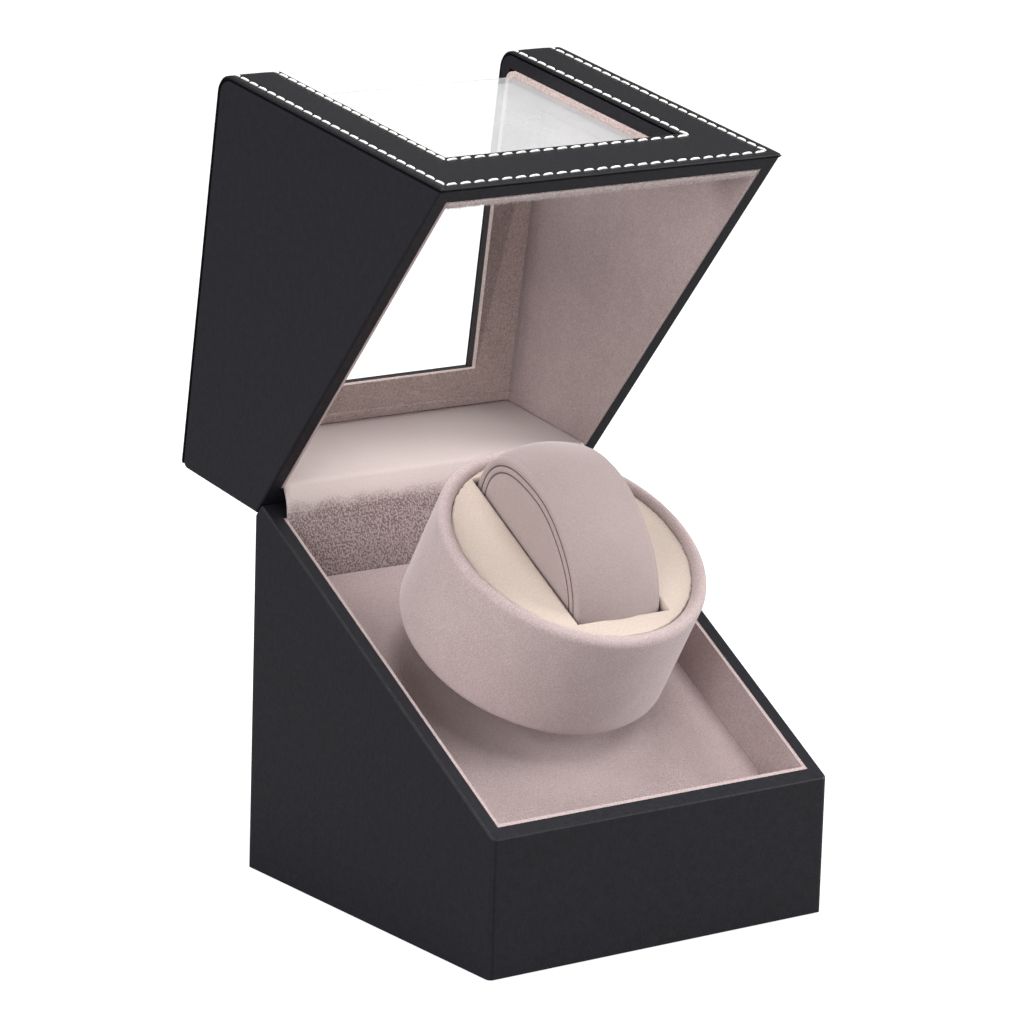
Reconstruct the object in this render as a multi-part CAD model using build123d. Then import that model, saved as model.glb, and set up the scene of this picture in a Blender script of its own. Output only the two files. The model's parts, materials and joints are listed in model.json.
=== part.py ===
"""Watch winder box: a wedge-fronted case with a hinged window lid and a motor-driven cup for a watch pillow.

Frame: X runs across the box, Y from front to back, Z up. The origin is the centre of the underside.
Everything is built where it sits with the lid standing open. The lid itself is drawn closed, and
swung back about the hinge line at the end. Units are millimetres.
"""
from build123d import *
import math
import os

# ---------------------------------------------------------------- driving dimensions
WIDTH = 122.8
DEPTH = 125.0
HEIGHT = 158.5
FRONT_HEIGHT = 42.5          # rim height at the front face
BACK_HEIGHT = 116.4          # where the rim plane meets the back face
LID_OPEN = 82.0              # degrees the lid stands open
RIM_GAP = 0.3                # between the two rims when the lid is shut
HINGE_INSET = 3.5            # hinge line, in from the back face

SKIN = 0.6                   # leatherette
SIDE_WALL = 4.4              # skin, board and turned-in skin
FRONT_WALL = 3.9
BACK_WALL = 9.1
FOOT = 0.4                   # the felt pad stands this far below the leatherette
LINING = 1.2                 # velvet on card
CORNER_R = 1.6
PLAY = 0.05
SNUG = 0.02

PANEL_DROP = 16.5            # velvet deck, below the rim plane
DECK_T = 4.8

CUP_R = 42.1
CUP_TOP = 35.1               # crest of the cup, above the rim plane
CUP_BASE = -3.7
CUP_ALONG = 75.6             # cup centre, up the slope from the front face
DISC_DROP = 1.7

BAND = 1.3                   # stitched leather band on the lid
FRAME_T = 5.3                # band, skin and board round the window
PANE_T = 1.8
CARD_T = 1.7
WINDOW_HALF = 42.3
WINDOW_SILL = 68.0           # lower edge of the window in the front face
WINDOW_REAR = 41.3           # rear edge of the window in the top face

GEAR_MODULE = 0.8
GEAR_TEETH = 60
PINION_TEETH = 15

# ---------------------------------------------------------------- worked-out places
SLOPE = math.degrees(math.atan2(BACK_HEIGHT - FRONT_HEIGHT, DEPTH))
COS = math.cos(math.radians(SLOPE))
SIN = math.sin(math.radians(SLOPE))
TAN = SIN / COS
FRONT = -DEPTH / 2
BACK = DEPTH / 2
SIDE = WIDTH / 2
HINGE_Y = BACK - HINGE_INSET
HINGE_Z = FRONT_HEIGHT + (HINGE_Y - FRONT) * TAN
CAVITY_X = SIDE - SIDE_WALL
CAVITY_FRONT = FRONT + FRONT_WALL
CAVITY_BACK = BACK - BACK_WALL
LINED_X = CAVITY_X - LINING
LINED_FRONT = CAVITY_FRONT + LINING
LINED_BACK = CAVITY_BACK - LINING
BIG = 400.0

DECK = Plane(
    origin=(0, FRONT + CUP_ALONG * COS, FRONT_HEIGHT + CUP_ALONG * SIN),
    x_dir=(1, 0, 0),
    z_dir=(0, -SIN, COS),
)
RIM_PLANE = Plane(origin=(0, HINGE_Y, HINGE_Z), x_dir=(1, 0, 0), z_dir=(0, -SIN, COS))
LEAN = math.radians(SLOPE - LID_OPEN)
BEVEL_PLANE = Plane(origin=RIM_PLANE.origin, x_dir=(1, 0, 0), z_dir=(0, -math.sin(LEAN), math.cos(LEAN)))
PANEL_TOP = -PANEL_DROP
PANEL_UNDER = -PANEL_DROP - DECK_T

parts = {}


# ---------------------------------------------------------------- helpers
def span(x0, x1, y0, y1, z0, z1):
    """A box between two corners."""
    return Pos((x0 + x1) / 2, (y0 + y1) / 2, (z0 + z1) / 2) * Box(x1 - x0, y1 - y0, z1 - z0)


def on(plane, shape):
    """A shape drawn on the XY plane, moved on to another plane."""
    return plane.location * shape


def disk(r, z0, z1, x=0.0, y=0.0):
    """A round slab from z0 to z1."""
    return Pos(x, y, (z0 + z1) / 2) * Cylinder(r, z1 - z0)


def ring(r_in, r_out, z0, z1, x=0.0, y=0.0):
    """A tube from z0 to z1."""
    return disk(r_out, z0, z1, x, y) - disk(r_in, z0 - 1, z1 + 1, x, y)


def side_prism(points, x0, x1):
    """A prism across the box from an outline of (y, z) points."""
    face = make_face(Polyline(*[(0, y, z) for y, z in points], close=True))
    return Pos(x0, 0, 0) * extrude(face, amount=x1 - x0, dir=(1, 0, 0))


def under_rim(drop):
    """Everything below the rim plane and the rear bevel, lowered by drop square to each."""
    block = Pos(0, 0, -drop) * Box(BIG, BIG, BIG, align=(Align.CENTER, Align.CENTER, Align.MAX))
    return on(RIM_PLANE, block) & on(BEVEL_PLANE, block)


def over_rim(lift):
    """Everything above the rim plane, raised by lift square to it."""
    block = Pos(0, 0, lift) * Box(BIG, BIG, BIG, align=(Align.CENTER, Align.CENTER, Align.MIN))
    return on(RIM_PLANE, block)


def swung(shape):
    """A closed-lid shape, swung open about the hinge line."""
    axis = Axis((0, HINGE_Y, HINGE_Z), (1, 0, 0))
    return shape.rotate(axis, -LID_OPEN)


def group(shapes):
    """Several separate solids in one node."""
    return Compound([solid for shape in shapes for solid in shape.solids()])


def keep(name, shape, colour):
    """Store a finished piece under its node name."""
    shape.color = Color(*colour)
    parts[name] = shape


BLACK = (0.05, 0.05, 0.06)
VELVET = (0.72, 0.63, 0.61)
CREAM = (0.84, 0.76, 0.70)
WOOD = (0.72, 0.58, 0.42)
STEEL = (0.62, 0.63, 0.65)
BRASS = (0.75, 0.60, 0.30)
NYLON = (0.90, 0.89, 0.85)
PCB_GREEN = (0.08, 0.32, 0.16)


# ---------------------------------------------------------------- base case
def rounded_block(inset, z0, z1):
    """The base's plan outline, inset on all four sides, from z0 to z1."""
    sketch = RectangleRounded(WIDTH - 2 * inset, DEPTH - 2 * inset, CORNER_R - inset)
    return Pos(0, 0, z0) * extrude(sketch, amount=z1 - z0)


CAVITY = span(-CAVITY_X, CAVITY_X, CAVITY_FRONT, CAVITY_BACK, -1, 140)
BOARD_CAVITY = span(-CAVITY_X - SKIN, CAVITY_X + SKIN, CAVITY_FRONT - SKIN, CAVITY_BACK + SKIN, -1, 140)
TURN_IN = 10.0               # skin turned in behind the rim
TURN_UNDER = 8.0             # skin turned under the base
HALF_GAP = RIM_GAP / 2

PLATE_X = 26.0               # centre of the rear control plate
PLATE_Z = 26.0
PLATE_W = 54.0
PLATE_H = 32.0
PLATE_T = 1.6
BAY_W = 36.0
BAY_H = 20.0
PLATE_RECESS = span(
    PLATE_X - PLATE_W / 2, PLATE_X + PLATE_W / 2, BACK - PLATE_T, BACK + 1,
    PLATE_Z - PLATE_H / 2, PLATE_Z + PLATE_H / 2,
)
BAY = span(
    PLATE_X - BAY_W / 2, PLATE_X + BAY_W / 2, CAVITY_BACK - 1, BACK + 1,
    PLATE_Z - BAY_H / 2, PLATE_Z + BAY_H / 2,
)


def base_skin():
    """Leatherette round the base, over its rim and a little way in."""
    outer = rounded_block(0, FOOT, 130) & under_rim(HALF_GAP)
    rim_edges = outer.edges().filter_by(lambda e: e.center().Z > 2 and abs(e.tangent_at(0.5).Z) < 0.95)
    outer = fillet(rim_edges, 0.8)
    core = rounded_block(SKIN, FOOT + SKIN, 130) & under_rim(HALF_GAP + SKIN)
    skin = outer - core - CAVITY
    turned = (BOARD_CAVITY - CAVITY) & under_rim(HALF_GAP + SKIN / 2)
    skin = skin + (turned - under_rim(HALF_GAP + TURN_IN))
    pad_hole = span(-SIDE + TURN_UNDER, SIDE - TURN_UNDER, FRONT + TURN_UNDER, BACK - TURN_UNDER, -1, 2)
    return skin - pad_hole - PLATE_RECESS - BAY


def base_boards():
    """Four walls and a floor of fibreboard."""
    shell = (rounded_block(SKIN, FOOT + SKIN, 130) - BOARD_CAVITY) & under_rim(HALF_GAP + SKIN)
    inner = CAVITY_X + SKIN
    left = shell & span(-BIG, -inner, -BIG, BIG, -1, 200)
    right = shell & span(inner, BIG, -BIG, BIG, -1, 200)
    front = shell & span(-inner, inner, -BIG, 0, -1, 200)
    back = shell & span(-inner, inner, 0, BIG, -1, 200)
    floor = span(-inner, inner, CAVITY_FRONT - SKIN, CAVITY_BACK + SKIN, FOOT + SKIN, FOOT + SKIN + 4.0)
    return left, right, front, back - PLATE_RECESS - BAY, floor


def base_linings():
    """Velvet-covered cards on the four walls, from the rim down to the deck."""
    block = Box(BIG, BIG, BIG, align=(Align.CENTER, Align.CENTER, Align.MIN))
    depth = under_rim(HALF_GAP + 0.2) & on(DECK, Pos(0, 0, PANEL_UNDER) * block)
    left = span(-CAVITY_X, -LINED_X, CAVITY_FRONT, CAVITY_BACK, 0, 140) & depth
    right = span(LINED_X, CAVITY_X, CAVITY_FRONT, CAVITY_BACK, 0, 140) & depth
    front = span(-LINED_X, LINED_X, CAVITY_FRONT, LINED_FRONT, 0, 140) & depth
    back = span(-LINED_X, LINED_X, LINED_BACK, CAVITY_BACK, 0, 140) & depth
    return left, right, front, back


def deck_slab(h0, h1):
    """A slab parallel to the rim, trimmed to fit between the linings."""
    slab = on(DECK, span(-BIG / 2, BIG / 2, -BIG / 2, BIG / 2, h0, h1))
    return slab & span(-LINED_X + PLAY, LINED_X - PLAY, LINED_FRONT + PLAY, LINED_BACK - PLAY, 0, 140)


def deck_cleats():
    """Four wooden blocks glued to the side walls, which carry the deck."""
    under = on(DECK, span(-BIG / 2, BIG / 2, -BIG / 2, BIG / 2, PANEL_UNDER - 9, PANEL_UNDER))
    wall = CAVITY_X + SKIN
    blocks = []
    for y0 in (-56.0, 30.0):
        for side in (-1, 1):
            x0, x1 = sorted((side * wall, side * (wall - 10)))
            blocks.append(span(x0, x1, y0, y0 + 16, 0, 140) & under)
    return group(blocks)


# ---------------------------------------------------------------- butt hinges
HINGE_X = 32.0
HINGE_LEN = 24.0
LEAF_W = 5.8
LEAF_T = 0.8
KNUCKLE_R = 1.5
PIN_R = 0.75
SCREW_X = 7.0
SCREW_Y = 3.4
BASE_SCREW = 5.2              # shank lengths; the lid's back wall leans away from its screws
LID_SCREW = 1.8


def barrel(x0, x1, r):
    """A round bar along the hinge line, in the rim plane's frame."""
    return Pos((x0 + x1) / 2, 0, 0) * Rot(0, 90, 0) * Cylinder(r, x1 - x0)


def leaf_screws(x, up):
    """Two countersunk screws through one leaf; up is +1 in the lid and -1 in the base."""
    out = []
    for dx in (-SCREW_X, SCREW_X):
        head = Pos(0, 0, LEAF_T / 2) * Cone(0.7, 1.4, LEAF_T)
        length = LID_SCREW if up > 0 else BASE_SCREW
        screw = head + disk(0.7, -length, 0)
        turn = Rot(180, 0, 0) if up > 0 else Rot(0, 0, 0)
        seat = up * (HALF_GAP + LEAF_T)
        out.append(Pos(x + dx, -SCREW_Y, seat) * turn * screw)
    return out


def leaf(x, up):
    """One hinge leaf with its knuckles; the base has the two outer ones and the lid the middle one."""
    z0, z1 = sorted((up * HALF_GAP, up * (HALF_GAP + LEAF_T)))
    plate = span(x - HINGE_LEN / 2, x + HINGE_LEN / 2, -LEAF_W, -0.6, z0, z1)
    third = HINGE_LEN / 3
    middle = span(x - third / 2, x + third / 2, -2.4, 2.4, -3, 3)
    room = span(x - third / 2 - 0.15, x + third / 2 + 0.15, -2.0, 2.4, -3, 3)
    ends = span(x - HINGE_LEN / 2 - 1, x + HINGE_LEN / 2 + 1, -2.0, 2.4, -3, 3) - middle
    knuckles = barrel(x - HINGE_LEN / 2, x + HINGE_LEN / 2, KNUCKLE_R)
    body = plate + knuckles
    body = body - ends if up > 0 else body - room
    body = body - barrel(x - HINGE_LEN, x + HINGE_LEN, PIN_R + 0.04)
    for screw in leaf_screws(x, up):
        body = body - screw
    return body


def leaf_pocket(x, up):
    """The space that a leaf and the knuckles need in the board and its skin."""
    z0, z1 = sorted((up * -1.0, up * (HALF_GAP + LEAF_T)))
    flat = span(x - HINGE_LEN / 2 - PLAY, x + HINGE_LEN / 2 + PLAY, -LEAF_W - PLAY, 0, z0, z1)
    return flat + barrel(x - HINGE_LEN / 2 - 0.4, x + HINGE_LEN / 2 + 0.4, KNUCKLE_R + 0.35)


# ---------------------------------------------------------------- drive under the deck
SPINDLE_R = 3.0
GEAR_LOW = -31.0
GEAR_HIGH = -27.0
PLATE_LOW = -37.0
PLATE_HIGH = -35.5
MOTOR_X = -(GEAR_TEETH + PINION_TEETH) * GEAR_MODULE / 2
MOTOR_R = 11.0
SHAFT_R = 1.5
GEARBOX_LOW = -55.0
MOTOR_LOW = -73.0
LEG_LEFT = -41.5
LEG_RIGHT = 28.0
SHEET = 1.5
FLANGE_W = 9.0
BRACKET_HALF = 14.0


def spur(teeth, thick, z0, bore, turn=0.0):
    """A spur gear with straight-flanked teeth, thinned a little for backlash."""
    pitch = teeth * GEAR_MODULE / 2
    root = pitch - 1.2 * GEAR_MODULE
    tip = pitch + 0.9 * GEAR_MODULE
    step = 2 * math.pi / teeth
    half_pitch = step * 0.225
    half_root = half_pitch + 0.6 * GEAR_MODULE * math.tan(math.radians(20)) / pitch * 1.6
    half_tip = half_pitch - 0.6 * GEAR_MODULE * math.tan(math.radians(20)) / pitch * 1.6
    points = []
    for i in range(teeth):
        mid = i * step + math.radians(turn)
        for r, a in ((root, -half_root), (tip, -half_tip), (tip, half_tip), (root, half_root)):
            points.append((r * math.cos(mid + a), r * math.sin(mid + a)))
    body = extrude(make_face(Polyline(*points, close=True)), amount=thick)
    return Pos(0, 0, z0) * body - disk(bore, z0 - 1, z0 + thick + 1)


def drive_gear():
    """The large gear on the cup's spindle, with a web, lightening holes and a hub."""
    bore = SPINDLE_R + SNUG
    gear = spur(GEAR_TEETH, GEAR_HIGH - GEAR_LOW, GEAR_LOW, bore)
    recess = ring(7.5, 19.5, GEAR_HIGH - 1.2, GEAR_HIGH + 1)
    gear = gear - recess - Pos(0, 0, GEAR_LOW - GEAR_HIGH + 0.2) * recess
    for place in PolarLocations(13.5, 6):
        gear = gear - place * disk(3.2, GEAR_LOW - 1, GEAR_HIGH + 1)
    return gear + ring(bore, 6.0, GEAR_HIGH, GEAR_HIGH + 2.6)


def pinion():
    """The small gear on the gearmotor's shaft."""
    step = 360 / PINION_TEETH
    gear = spur(PINION_TEETH, 5.5, GEAR_LOW - 0.8, SHAFT_R + SNUG, turn=step / 2)
    hub = ring(SHAFT_R + SNUG, 4.2, GEAR_LOW - 2.6, GEAR_LOW - 0.8)
    return Pos(MOTOR_X, 0, 0) * (gear + hub)


def motor_bracket():
    """A folded steel bridge screwed under the deck."""
    floor = span(LEG_LEFT - SHEET, LEG_RIGHT + SHEET, -BRACKET_HALF, BRACKET_HALF, PLATE_LOW, PLATE_HIGH)
    body = floor
    for x0, side in ((LEG_LEFT - SHEET, -1), (LEG_RIGHT, 1)):
        body = body + span(x0, x0 + SHEET, -BRACKET_HALF, BRACKET_HALF, PLATE_LOW, PANEL_UNDER)
        outer = x0 + (SHEET if side > 0 else 0)
        f0, f1 = sorted((outer, outer + side * FLANGE_W))
        body = body + span(f0, f1, -BRACKET_HALF, BRACKET_HALF, PANEL_UNDER - SHEET, PANEL_UNDER)
    body = body - disk(5.0, PLATE_LOW - 1, PLATE_HIGH + 1) - disk(5.0, PLATE_LOW - 1, PLATE_HIGH + 1, MOTOR_X)
    return body


def bracket_screws():
    """Four wood screws through the bracket's flanges into the deck."""
    out = []
    for x in (LEG_LEFT - SHEET - 4.5, LEG_RIGHT + SHEET + 4.5):
        for y in (-9.0, 9.0):
            seat = PANEL_UNDER - SHEET
            head = disk(2.8, seat - 1.8, seat, x, y)
            slot = span(x - 0.4, x + 0.4, y - 2.9, y + 2.9, seat - 2, seat - 1.1)
            shank = disk(1.4, seat, PANEL_UNDER + 3.4, x, y)
            out.append(head - slot + shank)
    return out


def gearbox():
    """Round gearbox under the bracket, with a boss round the output shaft."""
    body = disk(MOTOR_R, GEARBOX_LOW, PLATE_LOW) + disk(4.6, PLATE_LOW, PLATE_HIGH + 0.6)
    body = body - disk(SHAFT_R + PLAY, PLATE_LOW - 8, PLATE_HIGH + 2)
    for place in PolarLocations(8.0, 2, start_angle=90):
        body = body - place * disk(1.2, PLATE_LOW - 5, PLATE_LOW + 1)
    return Pos(MOTOR_X, 0, 0) * body


def gearbox_screws():
    """Two pan-head screws that hold the gearbox to the bracket."""
    out = []
    for y in (-8.0, 8.0):
        head = disk(2.1, PLATE_HIGH, PLATE_HIGH + 1.3, MOTOR_X, y)
        slot = span(MOTOR_X - 2.2, MOTOR_X + 2.2, y - 0.3, y + 0.3, PLATE_HIGH + 0.7, PLATE_HIGH + 2)
        out.append(head - slot + disk(1.2, PLATE_LOW - 5, PLATE_HIGH, MOTOR_X, y))
    return out


def motor():
    """The motor's steel can, with its rear bearing boss and two flats."""
    can = disk(10.2, MOTOR_LOW, GEARBOX_LOW)
    can = can & span(-10.2, 10.2, -8.4, 8.4, MOTOR_LOW - 1, GEARBOX_LOW + 1)
    return Pos(MOTOR_X, 0, 0) * (can + disk(3.0, MOTOR_LOW - 1.6, MOTOR_LOW))


def spindle():
    """Steel spindle that carries the cup, grooved for its clip."""
    rod = disk(SPINDLE_R, -42.0, CUP_BASE + HUB_SUNK)
    return rod - ring(2.3, SPINDLE_R + 1, -40.5, -39.7)


def spindle_clip():
    """The E-shaped clip that stops the spindle from lifting out."""
    clip = ring(2.35, 5.4, -40.45, -39.75)
    return clip - span(0, 8, -1.6, 1.6, -41, -39)


def flange_bush(z0, z1, flange):
    """A bronze bush from z0 to z1, with a flange over part of its length."""
    bore = SPINDLE_R + PLAY
    return ring(bore, 5.0, z0, z1) + ring(bore, 8.0, *flange)


# ---------------------------------------------------------------- cup and pillow
HUB_LOW = -14.2
CUP_IN = 37.6
CUP_FLOOR = 4.0
HUB_SUNK = 1.0
DISC_TOP = CUP_TOP - DISC_DROP
DISC_T = 4.0
LEDGE = DISC_TOP - DISC_T
PILLOW_HALF = 15.8
PILLOW_A = 31.2
PILLOW_B = 20.6
PILLOW_LEAN = 18.0           # degrees the oval leans back
PILLOW_H = 30.8              # centre of the pillow's oval, above the rim plane
PILLOW_V = 1.5               # and up the slope from the cup's centre
SIDE_PANEL = 1.4
PILLOW_REACH = math.hypot(
    PILLOW_A * math.cos(math.radians(PILLOW_LEAN)),
    PILLOW_B * math.sin(math.radians(PILLOW_LEAN)),
)
SLOT_HALF = PILLOW_HALF + 0.4
SLOT_REACH = PILLOW_REACH + 0.6


def cup_shell():
    """Velvet-covered tub with a round lip, a floor and an inner ledge for the disc."""
    tub = disk(CUP_R, CUP_BASE, CUP_TOP)
    rims = tub.edges().filter_by(GeomType.CIRCLE).group_by(Axis.Z)
    tub = fillet(rims[0], 2.5)
    tub = tub - disk(CUP_IN, LEDGE, CUP_TOP + 1) - disk(CUP_IN - 1.8, CUP_BASE + CUP_FLOOR, CUP_TOP)
    tub = tub - disk(CUP_IN, CUP_BASE + CUP_FLOOR, LEDGE - 2.5)
    crest = tub.edges().filter_by(GeomType.CIRCLE).filter_by(lambda e: e.center().Z > CUP_TOP - 0.1)
    tub = fillet(crest, 2.2)
    tub = tub - (disk(CUP_IN, LEDGE - 3, LEDGE + 1) & span(-SLOT_HALF, SLOT_HALF, -BIG, BIG, -BIG, BIG))
    for place in PolarLocations(14.0, 4, start_angle=45):
        tub = tub - place * disk(1.3, CUP_BASE - 1, CUP_BASE + CUP_FLOOR + 1)
    return tub - disk(22.0, CUP_BASE - 1, CUP_BASE + HUB_SUNK)


def cup_disc():
    """Cream velvet disc with the slot for the pillow."""
    disc = disk(CUP_IN - 0.1, LEDGE, DISC_TOP)
    disc = fillet(disc.edges().filter_by(GeomType.CIRCLE).group_by(Axis.Z)[-1], 0.8)
    return disc - span(
        -SLOT_HALF, SLOT_HALF, PILLOW_V - SLOT_REACH, PILLOW_V + SLOT_REACH, LEDGE - 1, DISC_TOP + 1,
    )


def cup_hub():
    """Turned hub that joins the cup's floor to the spindle."""
    hub = disk(9.0, HUB_LOW, -6.4) + disk(22.0, -6.4, CUP_BASE + HUB_SUNK)
    hub = hub - disk(SPINDLE_R + SNUG, HUB_LOW - 1, -1.0)
    for place in PolarLocations(14.0, 4, start_angle=45):
        hub = hub - place * disk(1.3, -6.0, 0)
    return hub


def hub_screws():
    """Four screws from inside the cup into the hub."""
    top = CUP_BASE + CUP_FLOOR
    screw = disk(2.6, top, top + 1.6) - span(-2.8, 2.8, -0.4, 0.4, top + 0.9, top + 2) + disk(1.3, -6.0, top)
    return group(place * screw for place in PolarLocations(14.0, 4, start_angle=45))


def pillow_oval(grow, x0, x1):
    """The pillow's oval, seen from the side, as a slab across the cup."""
    plane = Plane(origin=(x0, PILLOW_V, PILLOW_H), x_dir=(0, 1, 0), z_dir=(1, 0, 0))
    oval = Rot(0, 0, PILLOW_LEAN) * Ellipse(PILLOW_A + grow, PILLOW_B + grow)
    return extrude(plane * oval, amount=x1 - x0)


# ---------------------------------------------------------------- rear controls
JACK_X = 14.0
ROCKER_X = 26.0
TURNS_X = 37.0
TURNS_Z = 31.0
DIRECTION_Z = 21.0
PCB_BACK = 48.6
PCB_T = 1.6
SLIDER_TRAVEL = 2.0
ROCKER_TILT = 10.0
STANDOFFS = [(x, z) for x in (4.5, 47.5) for z in (13.0, 39.0)]
PLATE_HOLES = [(PLATE_X + dx, PLATE_Z + dz) for dx in (-23.5, 23.5) for dz in (-12.5, 12.5)]


def along_y(r, y0, y1, x, z):
    """A round bar that runs front to back."""
    return Pos(x, (y0 + y1) / 2, z) * Rot(90, 0, 0) * Cylinder(r, y1 - y0)


def plate_screws():
    """Four countersunk screws at the plate's corners."""
    out = []
    for x, z in PLATE_HOLES:
        head = Pos(x, BACK - 0.5, z) * Rot(90, 0, 0) * Cone(2.2, 1.2, 1.0)
        slot = span(x - 1.8, x + 1.8, BACK - 0.4, BACK + 1, z - 0.3, z + 0.3)
        out.append(head - slot + along_y(1.2, BACK - 6.5, BACK - 1.0, x, z))
    return out


def rear_plate():
    """Black plate with holes for the jack, the rocker and the two sliders."""
    plate = span(
        PLATE_X - PLATE_W / 2 + PLAY, PLATE_X + PLATE_W / 2 - PLAY, BACK - PLATE_T, BACK,
        PLATE_Z - PLATE_H / 2 + PLAY, PLATE_Z + PLATE_H / 2 - PLAY,
    )
    plate = plate - along_y(4.6, BACK - 3, BACK + 1, JACK_X, PLATE_Z)
    plate = plate - span(ROCKER_X - 5.2, ROCKER_X + 5.2, BACK - 3, BACK + 1, PLATE_Z - 7.2, PLATE_Z + 7.2)
    for z in (TURNS_Z, DIRECTION_Z):
        plate = plate - span(TURNS_X - 4.6, TURNS_X + 4.6, BACK - 3, BACK + 1, z - 2.0, z + 2.0)
    for screw in plate_screws():
        plate = plate - screw
    return plate


def dc_jack():
    """Barrel socket on the circuit board, with its centre pin."""
    body = span(JACK_X - 4.4, JACK_X + 4.4, PCB_BACK, BACK - 2.2, PLATE_Z - 5.2, PLATE_Z + 5.2)
    body = body + along_y(4.5, BACK - 2.2, BACK - 0.1, JACK_X, PLATE_Z)
    body = body - along_y(2.8, BACK - 10.5, BACK + 1, JACK_X, PLATE_Z)
    return body + along_y(0.95, BACK - 10.6, BACK - 1.6, JACK_X, PLATE_Z)


def rocker_body():
    """Snap-in switch body behind the plate, open at its face for the rocker."""
    body = span(ROCKER_X - 5.1, ROCKER_X + 5.1, BACK - 12, BACK + 0.2, PLATE_Z - 7.1, PLATE_Z + 7.1)
    body = body + span(ROCKER_X - 6.0, ROCKER_X + 6.0, BACK, BACK + 0.9, PLATE_Z - 8.2, PLATE_Z + 8.2)
    body = body - span(ROCKER_X - 4.2, ROCKER_X + 4.2, BACK - 6, BACK + 2, PLATE_Z - 6.2, PLATE_Z + 6.2)
    pivot = Pos(ROCKER_X, BACK - 2.6, PLATE_Z) * Rot(0, 90, 0) * Cylinder(0.85, 9.4)
    return body - pivot


def rocker():
    """The rocker cap, shown switched on, with its pivot pins."""
    mid = BACK - 2.6
    outline = [
        (mid + 3.1, PLATE_Z - 5.6), (mid + 2.3, PLATE_Z), (mid + 3.1, PLATE_Z + 5.6),
        (mid + 1.0, PLATE_Z + 5.3), (mid - 1.9, PLATE_Z + 1.6), (mid - 1.9, PLATE_Z - 1.6),
        (mid + 1.0, PLATE_Z - 5.3),
    ]
    cap = side_prism(outline, ROCKER_X - 3.9, ROCKER_X + 3.9)
    pins = Pos(ROCKER_X, mid, PLATE_Z) * Rot(0, 90, 0) * Cylinder(0.8, 9.2)
    both = cap + pins
    return both.rotate(Axis((0, mid, PLATE_Z), (1, 0, 0)), ROCKER_TILT)


def slide_body(z):
    """A small slide switch on the circuit board."""
    body = span(TURNS_X - 5.0, TURNS_X + 5.0, PCB_BACK, BACK - 6.0, z - 2.6, z + 2.6)
    return body - span(TURNS_X - 3.8, TURNS_X + 3.8, BACK - 10, BACK - 5, z - 1.3, z + 1.3)


def slider(z):
    """The switch's stem, with a ribbed thumb pad outside the plate."""
    x = TURNS_X - SLIDER_TRAVEL
    stem = span(x - 1.4, x + 1.4, BACK - 9.6, BACK + 0.4, z - 1.15, z + 1.15)
    pad = span(x - 1.8, x + 1.8, BACK - 0.6, BACK + 0.8, z - 1.6, z + 1.6)
    for dx in (-1.0, 0.0, 1.0):
        pad = pad - span(x + dx - 0.2, x + dx + 0.2, BACK + 0.4, BACK + 1, z - 2, z + 2)
    return stem + pad


def circuit_board():
    """Control board behind the rear wall, with a hole at each corner."""
    board = span(1.0, 51.0, PCB_BACK - PCB_T, PCB_BACK, 10.0, 42.0)
    for x, z in STANDOFFS:
        board = board - along_y(1.3, PCB_BACK - 3, PCB_BACK + 1, x, z)
    return board


def standoffs():
    """Four pillars between the rear wall and the board."""
    return group(
        along_y(2.6, PCB_BACK, CAVITY_BACK + SKIN, x, z) - along_y(1.3, PCB_BACK - 1, PCB_BACK + 4, x, z)
        for x, z in STANDOFFS
    )


def board_screws():
    """Four screws that hold the board to its pillars."""
    out = []
    for x, z in STANDOFFS:
        head = along_y(2.3, PCB_BACK - PCB_T - 1.5, PCB_BACK - PCB_T, x, z)
        slot = span(x - 2.4, x + 2.4, PCB_BACK - PCB_T - 2, PCB_BACK - PCB_T - 0.8, z - 0.3, z + 0.3)
        out.append(head - slot + along_y(1.3, PCB_BACK - PCB_T, PCB_BACK + 4, x, z))
    return group(out)


def motor_wire(tag_y, pin_z):
    """One insulated wire from a motor tag to the board's header."""
    start = DECK.location * Pos(MOTOR_X, tag_y, MOTOR_LOW)
    p0 = start.position
    down = DECK.z_dir * -1
    points = [p0, p0 + down * 4, Vector(-16, p0.Y + 1.0, 9.5), Vector(8.0, 38.0, pin_z)]
    points.append(Vector(8.0, PCB_BACK - PCB_T, pin_z))
    radii = [1.6, 3.0, 3.0]
    path = FilletPolyline(*points, radius=radii)
    section = Plane(origin=path @ 0, z_dir=path % 0) * Circle(0.6)
    return sweep(section, path=path)


# ---------------------------------------------------------------- lid, drawn closed
LID_CORNER = 6.0
LID_REAR_CORNER = 2.2
TOP = HEIGHT
FRAME_IN_Y = FRONT + FRAME_T
FRAME_IN_Z = TOP - FRAME_T
CARD_IN_Y = FRAME_IN_Y + CARD_T
CARD_IN_Z = FRAME_IN_Z - CARD_T
PANE_IN_Y = CARD_IN_Y + PANE_T
PANE_IN_Z = CARD_IN_Z - PANE_T
CARD_BEND = 4.0              # outer radius of the window card where it turns the corner
PANE_BEND = CARD_BEND - CARD_T
PANE_REAR = 49.0
CARD_FOOT = 60.0


def lid_block(x_half, front, top, back, r_front, r_rear, lift):
    """A solid block with the lid's side outline, above the rim plane raised by lift."""
    low = 20.0
    outline = [(front, low), (front, top), (back, top), (back, low)]
    block = side_prism(outline, -x_half, x_half)
    across = block.edges().filter_by(Axis.X).filter_by(lambda e: e.center().Z > top - 0.1)
    block = fillet(across.filter_by(lambda e: e.center().Y < 0), r_front)
    if r_rear > 0:
        across = block.edges().filter_by(Axis.X).filter_by(lambda e: e.center().Z > top - 0.1)
        block = fillet(across.filter_by(lambda e: e.center().Y > back - 0.1), r_rear)
    return block & over_rim(lift)


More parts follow.
